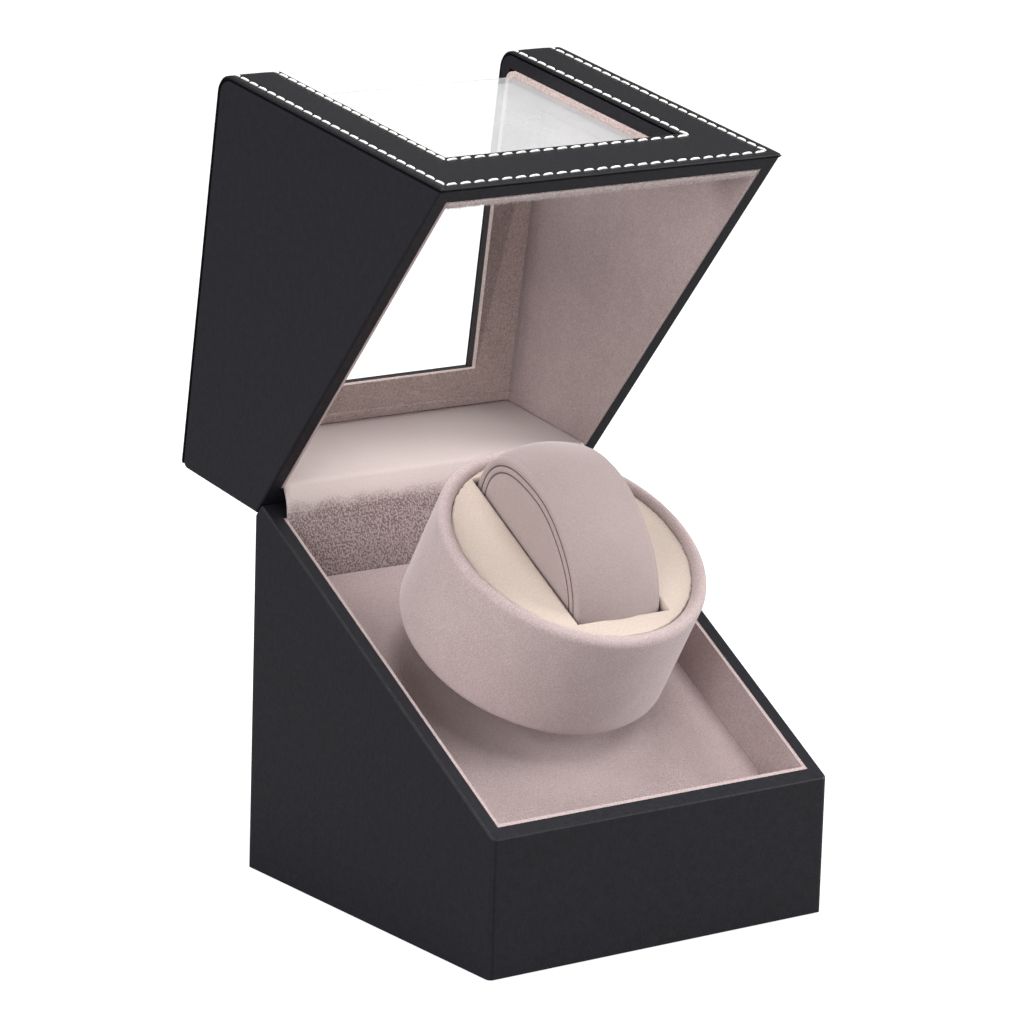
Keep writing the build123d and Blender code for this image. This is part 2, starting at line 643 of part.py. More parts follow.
def window(grow):
    """The opening that runs from the front face over the corner into the top face."""
    half = WINDOW_HALF + grow
    front = span(-half, half, FRONT - 5, FRAME_IN_Y + 20, WINDOW_SILL - grow, TOP + 5)
    top = span(-half, half, FRONT - 5, WINDOW_REAR + grow, FRAME_IN_Z - 20, TOP + 5)
    return front + top


def frame_zone(front, top):
    """The layer of the lid outside an inner front face and an inner top face."""
    return span(-BIG, BIG, -BIG, BIG, -1, 300) - span(-BIG, BIG, front, BIG, -1, top)


def lid_cavity(grow):
    """The inside of the lid's walls."""
    half = CAVITY_X + grow
    return span(-half, half, FRAME_IN_Y - grow, CAVITY_BACK + grow, 20, FRAME_IN_Z + grow)


def lid_skin():
    """Leatherette over the lid's boards, round the window and over the rim."""
    outer = lid_block(SIDE, FRONT + BAND, TOP - BAND, BACK, LID_CORNER - BAND, LID_REAR_CORNER, HALF_GAP)
    sides = outer.edges().filter_by(lambda e: abs(abs(e.center().X) - SIDE) < 0.01)
    outer = fillet(sides, 0.8)
    hollow = outer - lid_cavity(0) - (window(0) & frame_zone(FRAME_IN_Y + 0.5, FRAME_IN_Z - 0.5))
    return hollow - lid_core()


def lid_core():
    """All the lid's boards as one piece."""
    core = lid_block(
        SIDE - SKIN, FRONT + BAND + SKIN, TOP - BAND - SKIN, BACK - SKIN,
        LID_CORNER - BAND - SKIN, LID_REAR_CORNER - SKIN, HALF_GAP + SKIN,
    )
    return core - lid_cavity(SKIN) - (window(SKIN) & frame_zone(FRAME_IN_Y + 0.5, FRAME_IN_Z - 0.5))


def lid_boards():
    """The lid's core cut where its boards join."""
    core = lid_core()
    inner = CAVITY_X + SKIN
    left = core & span(-BIG, -inner, -BIG, BIG, 0, 300)
    right = core & span(inner, BIG, -BIG, BIG, 0, 300)
    middle = core & span(-inner, inner, -BIG, BIG, 0, 300)
    front = middle & span(-BIG, BIG, -BIG, FRAME_IN_Y - SKIN, 0, 300)
    back = middle & span(-BIG, BIG, CAVITY_BACK + SKIN, BIG, 0, 300)
    top = middle & span(-BIG, BIG, FRAME_IN_Y - SKIN, CAVITY_BACK + SKIN, 0, 300)
    return left, right, front, top, back


def stitched_band():
    """Folded leather band round the window, over the front and top faces."""
    outer = lid_block(SIDE, FRONT, TOP, BACK - 1.0, LID_CORNER, 0, HALF_GAP)
    under = lid_block(SIDE + 1, FRONT + BAND, TOP - BAND, BACK + 1, LID_CORNER - BAND, 0, -20)
    band = outer - under - window(0)
    skin_side = band.edges().filter_by(lambda e: abs(abs(e.center().X) - SIDE) < 0.01)
    outer_edges = skin_side.filter_by(lambda e: e.length > 50)
    face_edges = outer_edges.filter_by(lambda e: e.center().Y < FRONT + 0.1 or e.center().Z > TOP - 0.1)
    return fillet(face_edges, 0.4)


def pane():
    """Clear acrylic sheet, bent once to sit behind the window card."""
    outer = lid_block(LINED_X - 0.1, CARD_IN_Y, CARD_IN_Z, PANE_REAR, PANE_BEND, 0, -20)
    inner = lid_block(BIG / 2, PANE_IN_Y, PANE_IN_Z, BACK, PANE_BEND - PANE_T, 0, -40)
    return (outer - inner) & span(-BIG, BIG, -BIG, BIG, CARD_FOOT, 300)


def window_card():
    """Velvet-covered frame inside the window, which the pane is glued to."""
    outer = lid_block(LINED_X - 0.1, FRAME_IN_Y, FRAME_IN_Z, LINED_BACK, CARD_BEND, 0, -20)
    inner = lid_block(BIG / 2, CARD_IN_Y, CARD_IN_Z, BACK, PANE_BEND, 0, -40)
    card = (outer - inner) & span(-BIG, BIG, -BIG, BIG, CARD_FOOT, 300)
    half = WINDOW_HALF - 1.0
    front = span(-half, half, -BIG / 2, CARD_IN_Y + 9, WINDOW_SILL + 1.0, 300)
    top = span(-half, half, -BIG / 2, WINDOW_REAR - 1.0, CARD_IN_Z - 9, 300)
    return card - front - top


def lid_linings():
    """Velvet-covered cards inside the lid."""
    room = span(-BIG, BIG, FRAME_IN_Y, CAVITY_BACK, 0, FRAME_IN_Z) & over_rim(HALF_GAP + 0.2)
    left = room & span(-CAVITY_X, -LINED_X, -BIG, BIG, 0, 300)
    right = room & span(LINED_X, CAVITY_X, -BIG, BIG, 0, 300)
    back = room & span(-LINED_X, LINED_X, LINED_BACK, BIG, 0, CARD_IN_Z)
    front = room & span(-LINED_X, LINED_X, -BIG, CARD_IN_Y, 0, CARD_FOOT)
    return left, right, back, front


STRIP_T = 0.5
STRIP_TAIL = 8.0


def strip_tails():
    """The two glued-down edges of the velvet hinge strip."""
    face = span(-LINED_X + 1, LINED_X - 1, LINED_BACK - STRIP_T, LINED_BACK, 0, 200)
    base = face & under_rim(HALF_GAP + 0.3) & over_rim(-HALF_GAP - STRIP_TAIL)
    below = Box(BIG, BIG, BIG, align=(Align.CENTER, Align.CENTER, Align.MAX))
    lid = face & over_rim(HALF_GAP + 0.3) & on(RIM_PLANE, Pos(0, 0, HALF_GAP + STRIP_TAIL) * below)
    return base, lid


# ---------------------------------------------------------------- assembly
def build_base():
    screws = {x: [on(RIM_PLANE, s) for s in leaf_screws(x, -1)] for x in (-HINGE_X, HINGE_X)}
    pockets = [on(RIM_PLANE, leaf_pocket(x, -1)) for x in screws]
    left, right, front, back, floor = base_boards()
    skin = base_skin()
    b_left, b_right, b_front, b_back = base_linings()
    deck = deck_slab(PANEL_UNDER, PANEL_TOP)
    spindle_hole = on(DECK, disk(5.0, -30, 0))
    for pocket in pockets:
        skin = skin - pocket
        back = back - pocket
    for pair in screws.values():
        for screw in pair:
            back = back - screw
    for screw in plate_screws():
        back = back - screw
    keep("base_leatherette", skin, BLACK)
    keep("base_side_boards", group([left, right]), WOOD)
    keep("base_front_board", front, WOOD)
    keep("base_back_board", back, WOOD)
    keep("base_floor_board", floor, WOOD)
    pad = span(
        -SIDE + TURN_UNDER + 0.2, SIDE - TURN_UNDER - 0.2,
        FRONT + TURN_UNDER + 0.2, BACK - TURN_UNDER - 0.2, 0, FOOT + SKIN,
    )
    keep("felt_base_pad", pad, BLACK)
    keep("base_left_lining", b_left, VELVET)
    keep("base_right_lining", b_right, VELVET)
    keep("base_front_lining", b_front, VELVET)
    keep("base_back_lining", b_back, VELVET)
    holes = on(DECK, group(bracket_screws()))
    keep("mounting_deck", deck - spindle_hole - holes, VELVET)
    keep("deck_cleats", deck_cleats(), WOOD)
    keep("hinge_base_leaves", group(on(RIM_PLANE, leaf(x, -1)) for x in screws), STEEL)
    pins = (barrel(x - HINGE_LEN / 2, x + HINGE_LEN / 2, PIN_R) for x in screws)
    keep("hinge_pins", group(on(RIM_PLANE, pin) for pin in pins), STEEL)
    keep("hinge_base_screws", group(s for pair in screws.values() for s in pair), BRASS)


def build_drive():
    screws = bracket_screws() + gearbox_screws()
    keep("motor_bracket", on(DECK, motor_bracket() - group(screws) - gearbox()), STEEL)
    keep("drive_screws", on(DECK, group(screws)), STEEL)
    keep("gearbox", on(DECK, gearbox()), NYLON)
    keep("motor_can", on(DECK, motor()), STEEL)
    keep("motor_shaft", on(DECK, disk(SHAFT_R, PLATE_LOW - 7.5, GEAR_HIGH + 1.2, MOTOR_X)), STEEL)
    keep("pinion", on(DECK, pinion()), NYLON)
    upper = flange_bush(PANEL_UNDER, HUB_LOW - PLAY, (PANEL_TOP, HUB_LOW - PLAY))
    lower = flange_bush(-39.6, PLATE_HIGH, (-39.6, PLATE_LOW))
    keep("spindle_bushes", on(DECK, group([upper, lower])), BRASS)
    keep("motor_wires", group([motor_wire(-5.5, 27.0), motor_wire(5.5, 24.0)]), BLACK)


def build_cup():
    keep("spindle", on(DECK, spindle()), STEEL)
    keep("spindle_clip", on(DECK, spindle_clip()), STEEL)
    keep("drive_gear", on(DECK, drive_gear()), NYLON)
    keep("cup_hub", on(DECK, cup_hub()), NYLON)
    keep("hub_screws", on(DECK, hub_screws()), STEEL)
    keep("cup_shell", on(DECK, cup_shell()), VELVET)
    keep("cup_disc", on(DECK, cup_disc()), CREAM)
    body = pillow_oval(-0.8, -PILLOW_HALF + SIDE_PANEL, PILLOW_HALF - SIDE_PANEL)
    keep("pillow_cushion", on(DECK, body), VELVET)
    for name, side in (("left", -1), ("right", 1)):
        x0, x1 = sorted((side * PILLOW_HALF, side * (PILLOW_HALF - SIDE_PANEL)))
        panel = pillow_oval(0, x0, x1)
        edge = panel.edges().sort_by(Axis.X)[0 if side < 0 else -1]
        keep(f"pillow_{name}_panel", on(DECK, fillet(edge, 0.9)), VELVET)


def build_controls():
    keep("rear_plate", rear_plate(), BLACK)
    keep("rear_plate_screws", group(plate_screws()), STEEL)
    keep("circuit_board", circuit_board() - dc_jack(), PCB_GREEN)
    keep("board_pillars", standoffs(), NYLON)
    keep("board_screws", board_screws(), STEEL)
    keep("dc_jack", dc_jack(), BLACK)
    keep("power_switch_body", rocker_body(), BLACK)
    keep("power_rocker", rocker(), BLACK)
    keep("slide_switch_bodies", group(slide_body(z) for z in (TURNS_Z, DIRECTION_Z)), STEEL)
    keep("turns_slider", slider(TURNS_Z), BLACK)
    keep("direction_slider", slider(DIRECTION_Z), BLACK)
    front = PCB_BACK - PCB_T
    chip = span(22, 30, front - 1.6, front, 21, 26)
    keep("controller_chip", chip, BLACK)


def build_lid():
    screws = {x: [on(RIM_PLANE, s) for s in leaf_screws(x, 1)] for x in (-HINGE_X, HINGE_X)}
    pockets = [on(RIM_PLANE, leaf_pocket(x, 1)) for x in screws]
    left, right, front, top, back = lid_boards()
    skin = lid_skin()
    for pocket in pockets:
        skin = skin - pocket
        back = back - pocket
    for pair in screws.values():
        for screw in pair:
            back = back - screw
    l_left, l_right, l_back, l_front = lid_linings()
    keep("lid_leatherette", swung(skin), BLACK)
    keep("lid_side_boards", swung(group([left, right])), WOOD)
    keep("lid_window_boards", swung(group([front, top])), WOOD)
    keep("lid_back_board", swung(back), WOOD)
    keep("stitched_band", swung(stitched_band()), BLACK)
    keep("window_pane", swung(pane()), (0.85, 0.9, 0.92, 0.4))
    keep("window_frame_card", swung(window_card()), VELVET)
    keep("lid_left_lining", swung(l_left), VELVET)
    keep("lid_right_lining", swung(l_right), VELVET)
    keep("lid_back_lining", swung(l_back), VELVET)
    keep("lid_front_lining", swung(l_front), VELVET)
    keep("hinge_lid_leaves", swung(group(on(RIM_PLANE, leaf(x, 1)) for x in screws)), STEEL)
    keep("hinge_lid_screws", swung(group(s for pair in screws.values() for s in pair)), BRASS)
    base_tail, lid_tail = strip_tails()
    keep("hinge_strip_base_edge", base_tail, VELVET)
    keep("hinge_strip_lid_edge", swung(lid_tail), VELVET)


build_base()
build_drive()
build_cup()
build_controls()
build_lid()
os.makedirs("parts", exist_ok=True)
for node, solid in parts.items():
    export_step(solid, f"parts/{node}.step")
print(len(parts), "nodes; hinge line at y", round(HINGE_Y, 3), "z", round(HINGE_Z, 3))
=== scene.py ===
import json
import math
import random

import bmesh
import bpy
from mathutils import Matrix, Vector, noise

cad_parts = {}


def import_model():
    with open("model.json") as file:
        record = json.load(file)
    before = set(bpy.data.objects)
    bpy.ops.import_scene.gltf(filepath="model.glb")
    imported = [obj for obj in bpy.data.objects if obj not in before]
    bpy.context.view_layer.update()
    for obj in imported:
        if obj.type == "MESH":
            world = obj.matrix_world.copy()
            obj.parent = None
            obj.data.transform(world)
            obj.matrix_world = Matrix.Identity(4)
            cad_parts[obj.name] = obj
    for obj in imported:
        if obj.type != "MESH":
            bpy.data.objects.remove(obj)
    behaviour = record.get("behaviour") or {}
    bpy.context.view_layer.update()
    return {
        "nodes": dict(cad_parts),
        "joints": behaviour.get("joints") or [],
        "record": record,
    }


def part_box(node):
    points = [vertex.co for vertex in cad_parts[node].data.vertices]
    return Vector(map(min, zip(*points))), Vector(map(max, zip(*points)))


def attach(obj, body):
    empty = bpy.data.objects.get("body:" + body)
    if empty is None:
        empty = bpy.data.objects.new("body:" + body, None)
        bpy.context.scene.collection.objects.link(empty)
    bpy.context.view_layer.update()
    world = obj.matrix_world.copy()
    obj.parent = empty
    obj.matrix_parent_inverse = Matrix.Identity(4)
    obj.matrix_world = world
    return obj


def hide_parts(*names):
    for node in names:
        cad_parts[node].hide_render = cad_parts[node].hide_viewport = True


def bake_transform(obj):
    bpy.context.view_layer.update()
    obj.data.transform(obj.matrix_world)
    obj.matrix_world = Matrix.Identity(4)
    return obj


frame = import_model()

# ---------------------------------------------------------------- sizes, in metres
MM = 0.001
JOINTS = {joint["name"]: joint for joint in frame["joints"]}
HINGE = Vector(JOINTS["lid_hinge"]["pos_m"])
LID_OPEN = math.radians(JOINTS["lid_hinge"]["range_deg"][1])
DECK_AT = Vector(JOINTS["cup_spin"]["pos_m"])
DECK_UP = Vector(JOINTS["cup_spin"]["axis"]).normalized()
SLOPE = math.atan2(-DECK_UP.y, DECK_UP.z)
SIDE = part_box("base_leatherette")[1].x
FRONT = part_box("base_leatherette")[0].y
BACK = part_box("base_leatherette")[1].y
FRONT_HEIGHT = HINGE.z - (HINGE.y - FRONT) * math.tan(SLOPE)

# the lid, as it lies shut
LID_TOP = 158.5 * MM
LID_CORNER = 6.0 * MM
BAND = 1.3 * MM
FRAME_T = 5.3 * MM
WINDOW_HALF = 42.3 * MM
WINDOW_SILL = 68.0 * MM
WINDOW_REAR = 41.3 * MM
BACK_TOP_DROP = 7.4 * MM
PANEL_DROP = 16.5 * MM

# the cup and its disc, with heights above the deck's plane
CUP_R = 42.1 * MM
CUP_IN = 37.6 * MM
CUP_TOP = 35.1 * MM
CUP_BASE = -3.7 * MM
DISC_TOP = 33.4 * MM
DISC_T = 4.0 * MM
LEDGE = DISC_TOP - DISC_T

# the pillow: half its width, its oval's half axes, lean and centre, and the slot it stands in
PILLOW_HALF = 15.8 * MM
PILLOW_A = 31.2 * MM
PILLOW_B = 20.6 * MM
PILLOW_LEAN = math.radians(18.0)
PILLOW_H = 30.8 * MM
PILLOW_V = 1.5 * MM
SLOT_HALF = 16.2 * MM
SLOT_REACH = 30.9 * MM

# the inner faces of the linings
LINED_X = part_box("base_right_lining")[0].x
LINED_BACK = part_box("base_back_lining")[0].y
LINING = 1.2 * MM
LINING_FRONT = FRONT + FRAME_T

# OPEN swings a point of the shut lid open; DECK stands a point on the sloping deck
OPEN = Matrix.Translation(HINGE) @ Matrix.Rotation(-LID_OPEN, 4, "X") @ Matrix.Translation(-HINGE)
DECK_ALONG = Vector((0, math.cos(SLOPE), math.sin(SLOPE)))
DECK = Matrix((
    (1, DECK_ALONG.x, DECK_UP.x, DECK_AT.x),
    (0, DECK_ALONG.y, DECK_UP.y, DECK_AT.y),
    (0, DECK_ALONG.z, DECK_UP.z, DECK_AT.z),
    (0, 0, 0, 1),
))


# ---------------------------------------------------------------- material helpers
class Shader:
    """A Principled material with small helpers for procedural textures in object space."""

    def __init__(self, name, **sockets):
        self.material = bpy.data.materials.new(name)
        self.material.use_nodes = True
        self.tree = self.material.node_tree
        self.nodes = self.tree.nodes
        self.nodes.clear()
        self.out = self.nodes.new("ShaderNodeOutputMaterial")
        self.bsdf = self.nodes.new("ShaderNodeBsdfPrincipled")
        self.tree.links.new(self.bsdf.outputs["BSDF"], self.out.inputs["Surface"])
        self.coords = self.nodes.new("ShaderNodeTexCoord").outputs["Object"]
        self.height = None
        for key, value in sockets.items():
            self.bsdf.inputs[key.replace("_", " ")].default_value = value

    def link(self, a, b):
        self.tree.links.new(a, b)

    def stretched(self, scale):
        """Object coordinates times scale, for a texture drawn out along an axis."""
        node = self.nodes.new("ShaderNodeMapping")
        node.inputs["Scale"].default_value = scale
        self.link(self.coords, node.inputs["Vector"])
        return node.outputs["Vector"]

    def noise(self, size, detail=3.0, rough=0.55, vector=None):
        """Noise with a scale of one over size. Its blobs are about two and a half sizes across."""
        node = self.nodes.new("ShaderNodeTexNoise")
        node.inputs["Scale"].default_value = 1.0 / size
        node.inputs["Detail"].default_value = detail
        node.inputs["Roughness"].default_value = rough
        self.link(vector or self.coords, node.inputs["Vector"])
        return node.outputs["Fac"]

    def cells(self, size, feature, vector=None):
        """Distances in Voronoi cells that are about size metres across."""
        node = self.nodes.new("ShaderNodeTexVoronoi")
        node.feature = feature
        node.inputs["Scale"].default_value = 1.0 / size
        self.link(vector or self.coords, node.inputs["Vector"])
        return node.outputs["Distance"]

    def ramp(self, fac, stops):
        """Colours along fac, each stop a place and an RGB colour."""
        node = self.nodes.new("ShaderNodeValToRGB")
        ramp = node.color_ramp
        while len(ramp.elements) < len(stops):
            ramp.elements.new(0.5)
        for element, (place, colour) in zip(ramp.elements, stops):
            element.position = place
            element.color = (*colour, 1)
        self.link(fac, node.inputs["Fac"])
        return node.outputs["Color"]

    def two_tone(self, fac, low, high):
        """From low to high over the middle of the range."""
        return self.ramp(fac, [(0.3, low), (0.7, high)])

    def math(self, kind, a, b):
        """a and b are sockets or numbers."""
        node = self.nodes.new("ShaderNodeMath")
        node.operation = kind
        for socket, value in zip(node.inputs, (a, b)):
            if isinstance(value, (int, float)):
                socket.default_value = value
            else:
                self.link(value, socket)
        return node.outputs[0]

    def blend(self, fac, a, b):
        """Colour a where fac is 0 and b where it is 1. A colour mix has its colours at 6, 7 and 2."""
        node = self.nodes.new("ShaderNodeMix")
        node.data_type = "RGBA"
        for place, socket in ((0, fac), (6, a), (7, b)):
            self.link(socket, node.inputs[place])
        return node.outputs[2]

    def bump(self, height, depth, strength):
        """Adds relief of that depth in metres, on top of any bump already there."""
        node = self.nodes.new("ShaderNodeBump")
        node.inputs["Strength"].default_value = strength
        node.inputs["Distance"].default_value = depth
        self.link(height, node.inputs["Height"])
        if self.height is not None:
            self.link(self.height, node.inputs["Normal"])
        self.height = node.outputs["Normal"]
        self.link(self.height, self.bsdf.inputs["Normal"])

    def colour(self, socket):
        self.link(socket, self.bsdf.inputs["Base Color"])

    def roughness(self, socket):
        self.link(socket, self.bsdf.inputs["Roughness"])


def grey(v):
    return (v, v, v)


def scaled(colour, share):
    return tuple(share * c for c in colour)


def leatherette(name, tone, gloss):
    """Fine pebbled grain with faint creases between the pebbles."""
    s = Shader(name, Specular_IOR_Level=gloss)
    mottle = s.noise(2.2 * MM, 4.0)
    s.colour(s.two_tone(mottle, scaled(tone, 0.82), scaled(tone, 1.18)))
    grain = s.cells(0.62 * MM, "SMOOTH_F1")
    crease = s.cells(1.5 * MM, "DISTANCE_TO_EDGE")
    s.roughness(s.two_tone(s.noise(1.5 * MM), grey(0.42), grey(0.54)))
    s.bump(s.ramp(crease, [(0.0, grey(0.0)), (0.12, grey(1.0))]), 0.014 * MM, 0.7)
    s.bump(grain, 0.028 * MM, 0.9)
    return s.material


def pile_shader(name, sheen=0.35):
    """Matt, with a pale sheen at glancing angles."""
    look = dict(Roughness=0.95, Specular_IOR_Level=0.10)
    return Shader(name, Sheen_Weight=sheen, Sheen_Roughness=0.40, Sheen_Tint=(0.93, 0.90, 0.92, 1), **look)


def velvet(name, light, dark, nap=1.0, sheen=0.35, size=1.0):
    """Short pile: a fine nap whose colour follows its bump, lighter on the tips and darker in the gaps as
    painted shade, over a broad random mottle. nap is how deep it is, size how coarse.
    """
    s = pile_shader(name, sheen)
    brushed = s.noise(9 * MM)
    pile = s.noise(0.40 * MM * size, 1.5, 0.5)
    fibre = s.noise(0.20 * MM, 2.0, 0.6)
    mix = s.math("ADD", s.math("MULTIPLY", brushed, 0.16), s.math("MULTIPLY", pile, 0.84))
    # painted shade: the colour follows the pile's bump, darker in its gaps and lighter on its tips
    s.colour(s.ramp(mix, [(0.36, dark), (0.64, light)]))
    s.bump(pile, 0.12 * MM * nap, 1.0)
    s.bump(fibre, 0.05 * MM * nap, 0.8)
    return s.material


def back_velvet(light, shade, dark):
    """Brushed smooth on the lid's back wall, and rubbed up into a coarse nap on the base's, where it is
    darker and the hollows between the pebbles are painted darkest as shade.
    """
    s = pile_shader("back_velvet")
    share = s.nodes.new("ShaderNodeAttribute")
    share.attribute_name = "nap"
    rough = share.outputs["Fac"]
    fine = s.noise(0.40 * MM, 1.5, 0.5)
    coarse = s.noise(0.62 * MM, 0.5, 0.4)
    smooth_colour = s.ramp(fine, [(0.35, scaled(light, 0.93)), (0.65, light)])
    # painted shade: the coarse pebbles' hollows are coloured darkest, following the bump
    rough_colour = s.ramp(coarse, [(0.34, dark), (0.62, shade)])
    s.colour(s.blend(rough, smooth_colour, rough_colour))
    s.bump(s.math("MULTIPLY", fine, 0.5), 0.12 * MM, 0.8)
    s.bump(s.math("MULTIPLY", coarse, rough), 0.50 * MM, 1.0)
    return s.material


def clear_acrylic():
    """Thin clear sheet with a faint milky film. A pale film over it grows at glancing angles as its gloss
    does, a painted reflection of the bright surroundings.
    """
    least, painted_reflection_growth, most = 0.03, 2.0, 0.8
    s = Shader("clear_acrylic", Roughness=0.06, IOR=1.49)
    s.material.surface_render_method = "BLENDED"
    s.colour(s.two_tone(s.noise(25 * MM), (0.66, 0.67, 0.68), (0.72, 0.73, 0.74)))
    weight = s.nodes.new("ShaderNodeLayerWeight")
    weight.inputs["Blend"].default_value = 0.5
    glancing = s.math("POWER", weight.outputs["Facing"], 5.0)
    # painted reflection: the pale film thickens towards glancing angles
    film = s.math("ADD", s.math("MULTIPLY", glancing, painted_reflection_growth), least)
    s.link(s.math("MINIMUM", film, most), s.bsdf.inputs["Alpha"])
    return s.material


def thread():
    s = Shader("off_white_thread", Roughness=0.7, Sheen_Weight=0.3)
    twist = s.noise(0.35 * MM, 2.0)
    s.colour(s.two_tone(twist, (0.62, 0.60, 0.57), (0.82, 0.81, 0.78)))
    s.bump(twist, 0.06 * MM, 0.8)
    return s.material


def fibreboard():
    s = Shader("fibreboard", Roughness=0.85)
    fibres = s.noise(1.2 * MM, 4.0, 0.7)
    s.colour(s.two_tone(fibres, (0.30, 0.20, 0.12), (0.50, 0.36, 0.22)))
    s.bump(fibres, 0.10 * MM, 0.6)
    return s.material


def plated(name, colour, rough):
    """Bare or plated metal, rubbed brighter in places."""
    s = Shader(name, Metallic=1.0)
    rubbed = s.noise(2.5 * MM, 4.0, vector=s.stretched((1, 1, 6)))
    s.colour(s.two_tone(rubbed, scaled(colour, 0.8), colour))
    s.roughness(s.two_tone(rubbed, grey(rough * 1.3), grey(rough * 0.8)))
    s.bump(rubbed, 0.01 * MM, 0.5)
    return s.material


def moulded(name, colour, rough):
    """Plastic with the fine texture of its mould."""
    s = Shader(name, Specular_IOR_Level=0.45)
    texture = s.noise(0.4 * MM, 2.0)
    s.colour(s.two_tone(s.noise(6 * MM, 2.0), scaled(colour, 0.88), colour))
    s.roughness(s.two_tone(texture, grey(rough * 0.85), grey(rough * 1.15)))
    s.bump(texture, 0.02 * MM, 0.6)
    return s.material


def circuit_board():
    """Green lacquer over raised copper tracks."""
    track, gap = 0.04, 0.07
    s = Shader("green_circuit_board", Roughness=0.35)
    lanes = s.cells(2.6 * MM, "DISTANCE_TO_EDGE", s.stretched((1, 0.01, 1)))
    s.colour(s.ramp(lanes, [(track, (0.06, 0.20, 0.07)), (gap, (0.015, 0.10, 0.035))]))
    s.bump(s.ramp(lanes, [(track, grey(1.0)), (gap, grey(0.0))]), 0.03 * MM, 0.6)
    return s.material


def felt():
    s = Shader("black_felt", Roughness=1.0, Sheen_Weight=0.2)
    fibres = s.noise(0.6 * MM, 4.0, 0.7)
    s.colour(s.two_tone(fibres, grey(0.008), grey(0.03)))
    s.bump(fibres, 0.15 * MM, 0.8)
    return s.material


# by material slot
MATERIALS = {
    "black_leatherette": leatherette("black_leatherette", (0.0092, 0.0088, 0.0122), 0.20),
    "fibreboard": fibreboard(),
    "taupe_velvet": velvet("taupe_velvet", (0.475, 0.385, 0.378), (0.36, 0.283, 0.278)),
    "cream_velvet": velvet("cream_velvet", (0.56, 0.468, 0.410), (0.48, 0.395, 0.342), nap=0.4),
    "black_felt": felt(),
    "clear_acrylic": clear_acrylic(),
    "zinc_steel": plated("zinc_steel", (0.60, 0.61, 0.63), 0.32),
    "brass_screw": plated("brass_screw", (0.80, 0.60, 0.28), 0.28),
    "bronze_bush": plated("bronze_bush", (0.55, 0.36, 0.19), 0.45),
    "white_nylon": moulded("white_nylon", (0.82, 0.80, 0.74), 0.5),
    "black_plastic": moulded("black_plastic", (0.014, 0.014, 0.016), 0.42),
    "green_circuit_board": circuit_board(),
}

# for the pieces that have a look of their own
THREAD = thread()
BAND_LEATHER = leatherette("band_leather", (0.0056, 0.0054, 0.0076), 0.24)
# a near-black copy of the band's leather for its edge faces, painted shade in the groove under the fold
FOLD_SHADE_LEATHER = leatherette("fold_leather_painted_shade", (0.0016, 0.0016, 0.0020), 0.05)
BACK_VELVET = back_velvet((0.515, 0.438, 0.419), (0.375, 0.298, 0.291), (0.18, 0.135, 0.133))
COARSE_VELVET = velvet(
    "coarse_taupe_velvet", (0.66, 0.525, 0.495), (0.44, 0.338, 0.316), nap=2.6, size=1.5)
PILLOW_VELVET = velvet("pillow_velvet", (0.352, 0.286, 0.277), (0.304, 0.242, 0.235), nap=0.5)
# the rim's fibres, coloured far lighter than the lining's velvet: painted highlight for the light the rim
# catches
PILE_PAINTED_HIGHLIGHT = velvet("pile_tips_painted_highlight", (0.84, 0.76, 0.74), (0.62, 0.54, 0.53), nap=0.3, sheen=0.6)
# near-black velvet for the pillow's seam grooves, painted shade in the creases
SEAM_SHADE_VELVET = velvet("seam_velvet_painted_shade", (0.13, 0.095, 0.09), (0.08, 0.058, 0.055), nap=0.6)


def dress(node, material):
    """Gives a CAD node its material."""
    data = frame["nodes"][node].data
    data.materials.clear()
    data.materials.append(material)


def soften(node):
    """Rounds the sharp edges of a velvet-covered CAD node for show."""
    bevel = frame["nodes"][node].modifiers.new("soft_edges", "BEVEL")
    bevel.width = 0.5 * MM
    bevel.segments = 3
    bevel.limit_method = "ANGLE"
    bevel.angle_limit = math.radians(40)
    bevel.harden_normals = False


# ---------------------------------------------------------------- mesh helpers
def finish_mesh(name, bm, *materials):
    bmesh.ops.recalc_face_normals(bm, faces=bm.faces)
    mesh = bpy.data.meshes.new(name)
    bm.to_mesh(mesh)
    bm.free()
    for polygon in mesh.polygons:
        polygon.use_smooth = True
    obj = bpy.data.objects.new(name, mesh)
    bpy.context.scene.collection.objects.link(obj)
    for material in materials:
        mesh.materials.append(material)
    return obj


def arc(cx, cy, r, a0, a1, steps):
    """Points on an arc, angles in degrees."""
    out = []
    for i in range(steps + 1):
        a = math.radians(a0 + (a1 - a0) * i / steps)
        out.append((cx + r * math.cos(a), cy + r * math.sin(a)))
    return out


def straight(a, b, steps):
    """The points between a and b, both left out."""
    return [tuple(p + (q - p) * i / steps for p, q in zip(a, b)) for i in range(1, steps)]


def spread(low, high, step):
    """Evenly spaced values from low to high, both included."""
    count = max(1, round((high - low) / step))
    return [low + (high - low) * i / count for i in range(count + 1)]


def skin(bm, rings, capped=False):
    """Faces between each closed ring of vertices and the next, as one list for each gap."""
    gaps = []
    for one, two in zip(rings, rings[1:]):
        pairs = [(k, (k + 1) % len(one)) for k in range(len(one))]
        gaps.append([bm.faces.new((one[k], one[m], two[m], two[k])) for k, m in pairs])
    if capped:
        bm.faces.new(rings[0])
        bm.faces.new(list(reversed(rings[-1])))
    return gaps


